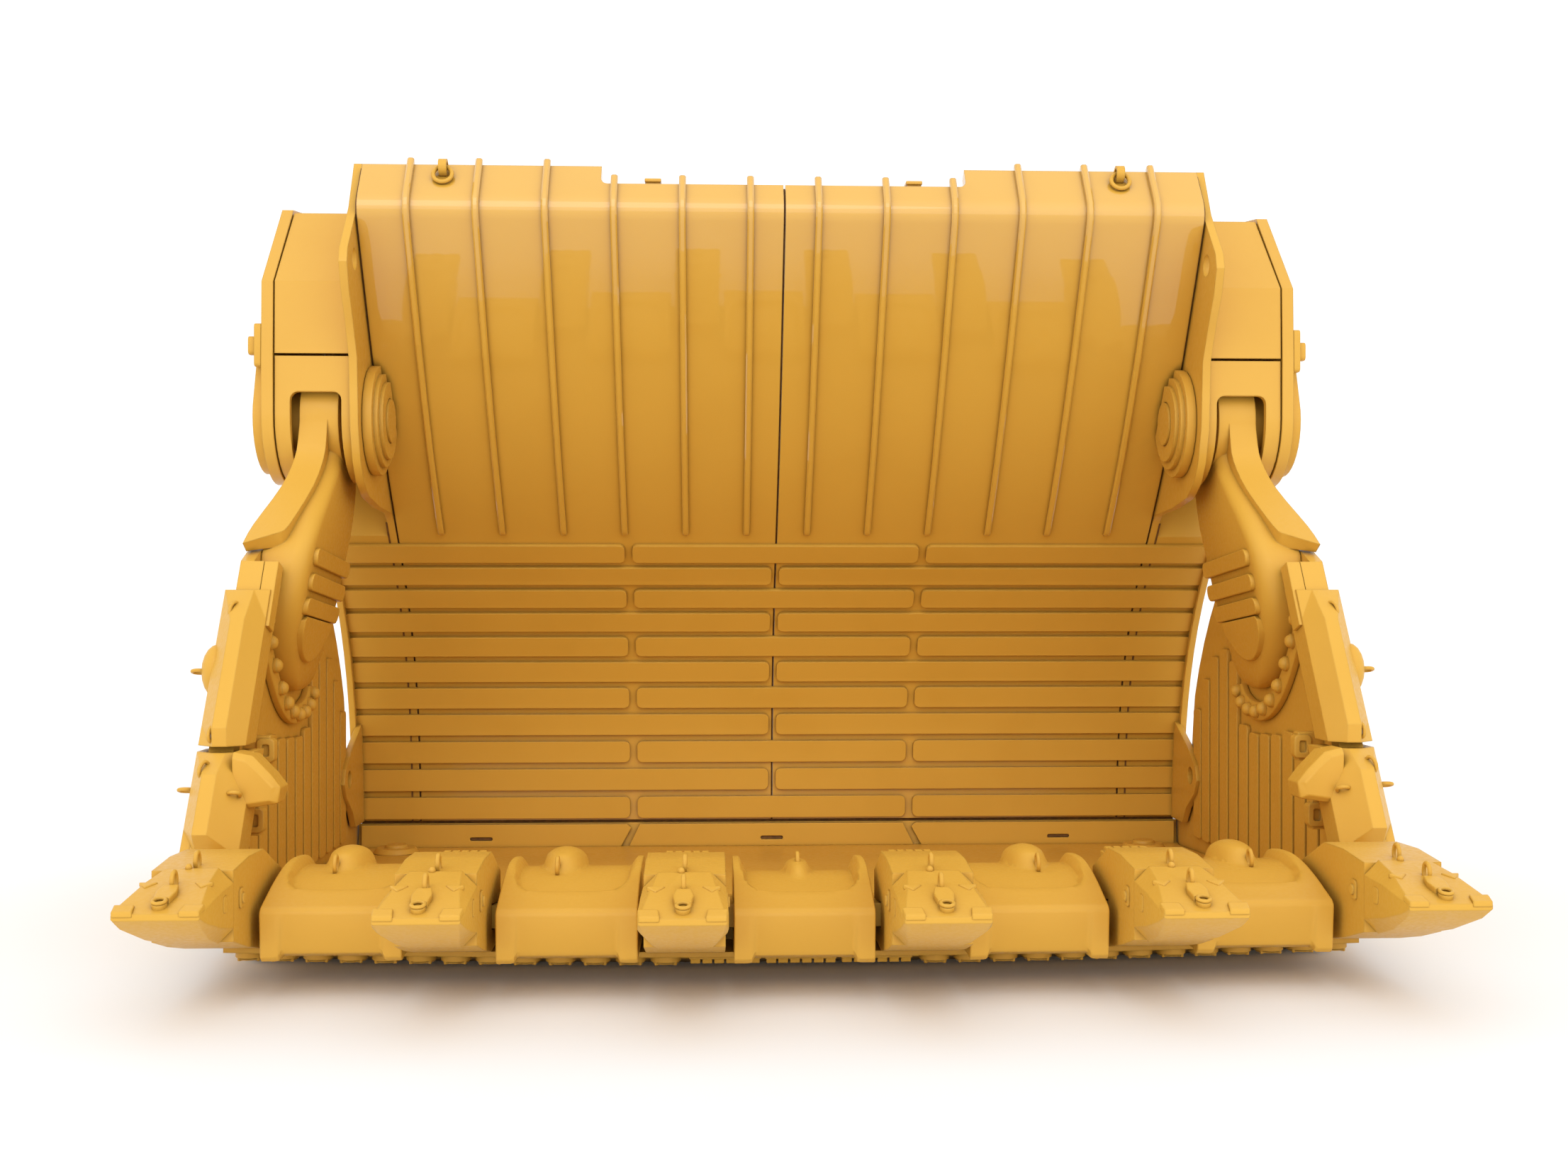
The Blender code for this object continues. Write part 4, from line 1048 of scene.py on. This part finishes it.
class BUCKET_OT_nodes(bpy.types.Operator):
    """Give every CAD node its finish"""
    bl_idname = "bucket.nodes"
    bl_label = "Paint the CAD nodes"

    def execute(self, context):
        finish_nodes()
        return {'FINISHED'}


class BUCKET_OT_ribs(bpy.types.Operator):
    """Add the twelve upright ribs of the rear wall"""
    bl_idname = "bucket.ribs"
    bl_label = "Wall ribs"

    def execute(self, context):
        build_ribs()
        return {'FINISHED'}


class BUCKET_OT_wear_plates(bpy.types.Operator):
    """Add the rows of wear plates on the rear wall"""
    bl_idname = "bucket.wear_plates"
    bl_label = "Wear plates"

    def execute(self, context):
        build_wear_plates()
        return {'FINISHED'}


class BUCKET_OT_housing_trim(bpy.types.Operator):
    """Add the painted shade strips in the seams, the top lugs and the pin retainers of the rear body"""
    bl_idname = "bucket.housing_trim"
    bl_label = "Rear body trim"

    def execute(self, context):
        build_seam_shades()
        build_top_lugs()
        build_pin_retainers()
        return {'FINISHED'}


class BUCKET_OT_arm_trim(bpy.types.Operator):
    """Add the wear bars on the arms and the ball guards round their ends"""
    bl_idname = "bucket.arm_trim"
    bl_label = "Arm trim"

    def execute(self, context):
        build_arm_bars()
        build_ball_guards()
        return {'FINISHED'}


class BUCKET_OT_side_trim(bpy.types.Operator):
    """Add the wear strips, lock bosses and wing trim of the clam's sides"""
    bl_idname = "bucket.side_trim"
    bl_label = "Side trim"

    def execute(self, context):
        build_side_strips()
        build_lock_bosses()
        build_wing_trim()
        return {'FINISHED'}


class BUCKET_OT_heel(bpy.types.Operator):
    """Add the wear plates and bosses of the clam's heel"""
    bl_idname = "bucket.heel"
    bl_label = "Heel plates"

    def execute(self, context):
        build_heel_plates()
        return {'FINISHED'}


class BUCKET_OT_shrouds(bpy.types.Operator):
    """Replace the five lip shrouds by their castings"""
    bl_idname = "bucket.shrouds"
    bl_label = "Lip shrouds"

    def execute(self, context):
        build_lip_shrouds()
        return {'FINISHED'}


class BUCKET_OT_teeth(bpy.types.Operator):
    """Add pads, loops, locks and rear bars to the six teeth"""
    bl_idname = "bucket.teeth"
    bl_label = "Tooth trim"

    def execute(self, context):
        build_tooth_trim()
        return {'FINISHED'}


class BUCKET_OT_buttons(bpy.types.Operator):
    """Add the wear buttons and notched bars under the lip"""
    bl_idname = "bucket.buttons"
    bl_label = "Lip buttons"

    def execute(self, context):
        build_lip_buttons()
        return {'FINISHED'}


class BUCKET_OT_stage(bpy.types.Operator):
    """Add the floor, the light and the camera"""
    bl_idname = "bucket.stage"
    bl_label = "Stage"

    def execute(self, context):
        build_floor()
        build_light()
        build_camera()
        return {'FINISHED'}


STEPS = (BUCKET_OT_nodes, BUCKET_OT_ribs, BUCKET_OT_wear_plates, BUCKET_OT_housing_trim, BUCKET_OT_arm_trim,
         BUCKET_OT_side_trim, BUCKET_OT_heel, BUCKET_OT_shrouds, BUCKET_OT_teeth, BUCKET_OT_buttons,
         BUCKET_OT_stage)


class BUCKET_PT_panel(bpy.types.Panel):
    """Sizes, colours and building steps of the bucket"""
    bl_label = "Face shovel bucket"
    bl_idname = "BUCKET_PT_panel"
    bl_space_type = 'VIEW_3D'
    bl_region_type = 'UI'
    bl_category = "Bucket"

    def draw(self, context):
        layout = self.layout
        for group in (context.scene.bucket_sizes, context.scene.bucket_colours):
            box = layout.box()
            for key in group.bl_rna.properties.keys():
                if key not in {"rna_type", "name"}:
                    box.prop(group, key)
        for step in STEPS:
            layout.operator(step.bl_idname)


CLASSES = (BucketSizes, BucketColours, *STEPS, BUCKET_PT_panel)


def register():
    for made in CLASSES:
        bpy.utils.register_class(made)
    bpy.types.Scene.bucket_sizes = PointerProperty(type=BucketSizes)
    bpy.types.Scene.bucket_colours = PointerProperty(type=BucketColours)


def unregister():
    del bpy.types.Scene.bucket_sizes
    del bpy.types.Scene.bucket_colours
    for made in reversed(CLASSES):
        bpy.utils.unregister_class(made)


def main():
    register()
    for step in STEPS:
        group, action = step.bl_idname.split(".")
        getattr(getattr(bpy.ops, group), action)()


if __name__ == "__main__":
    main()
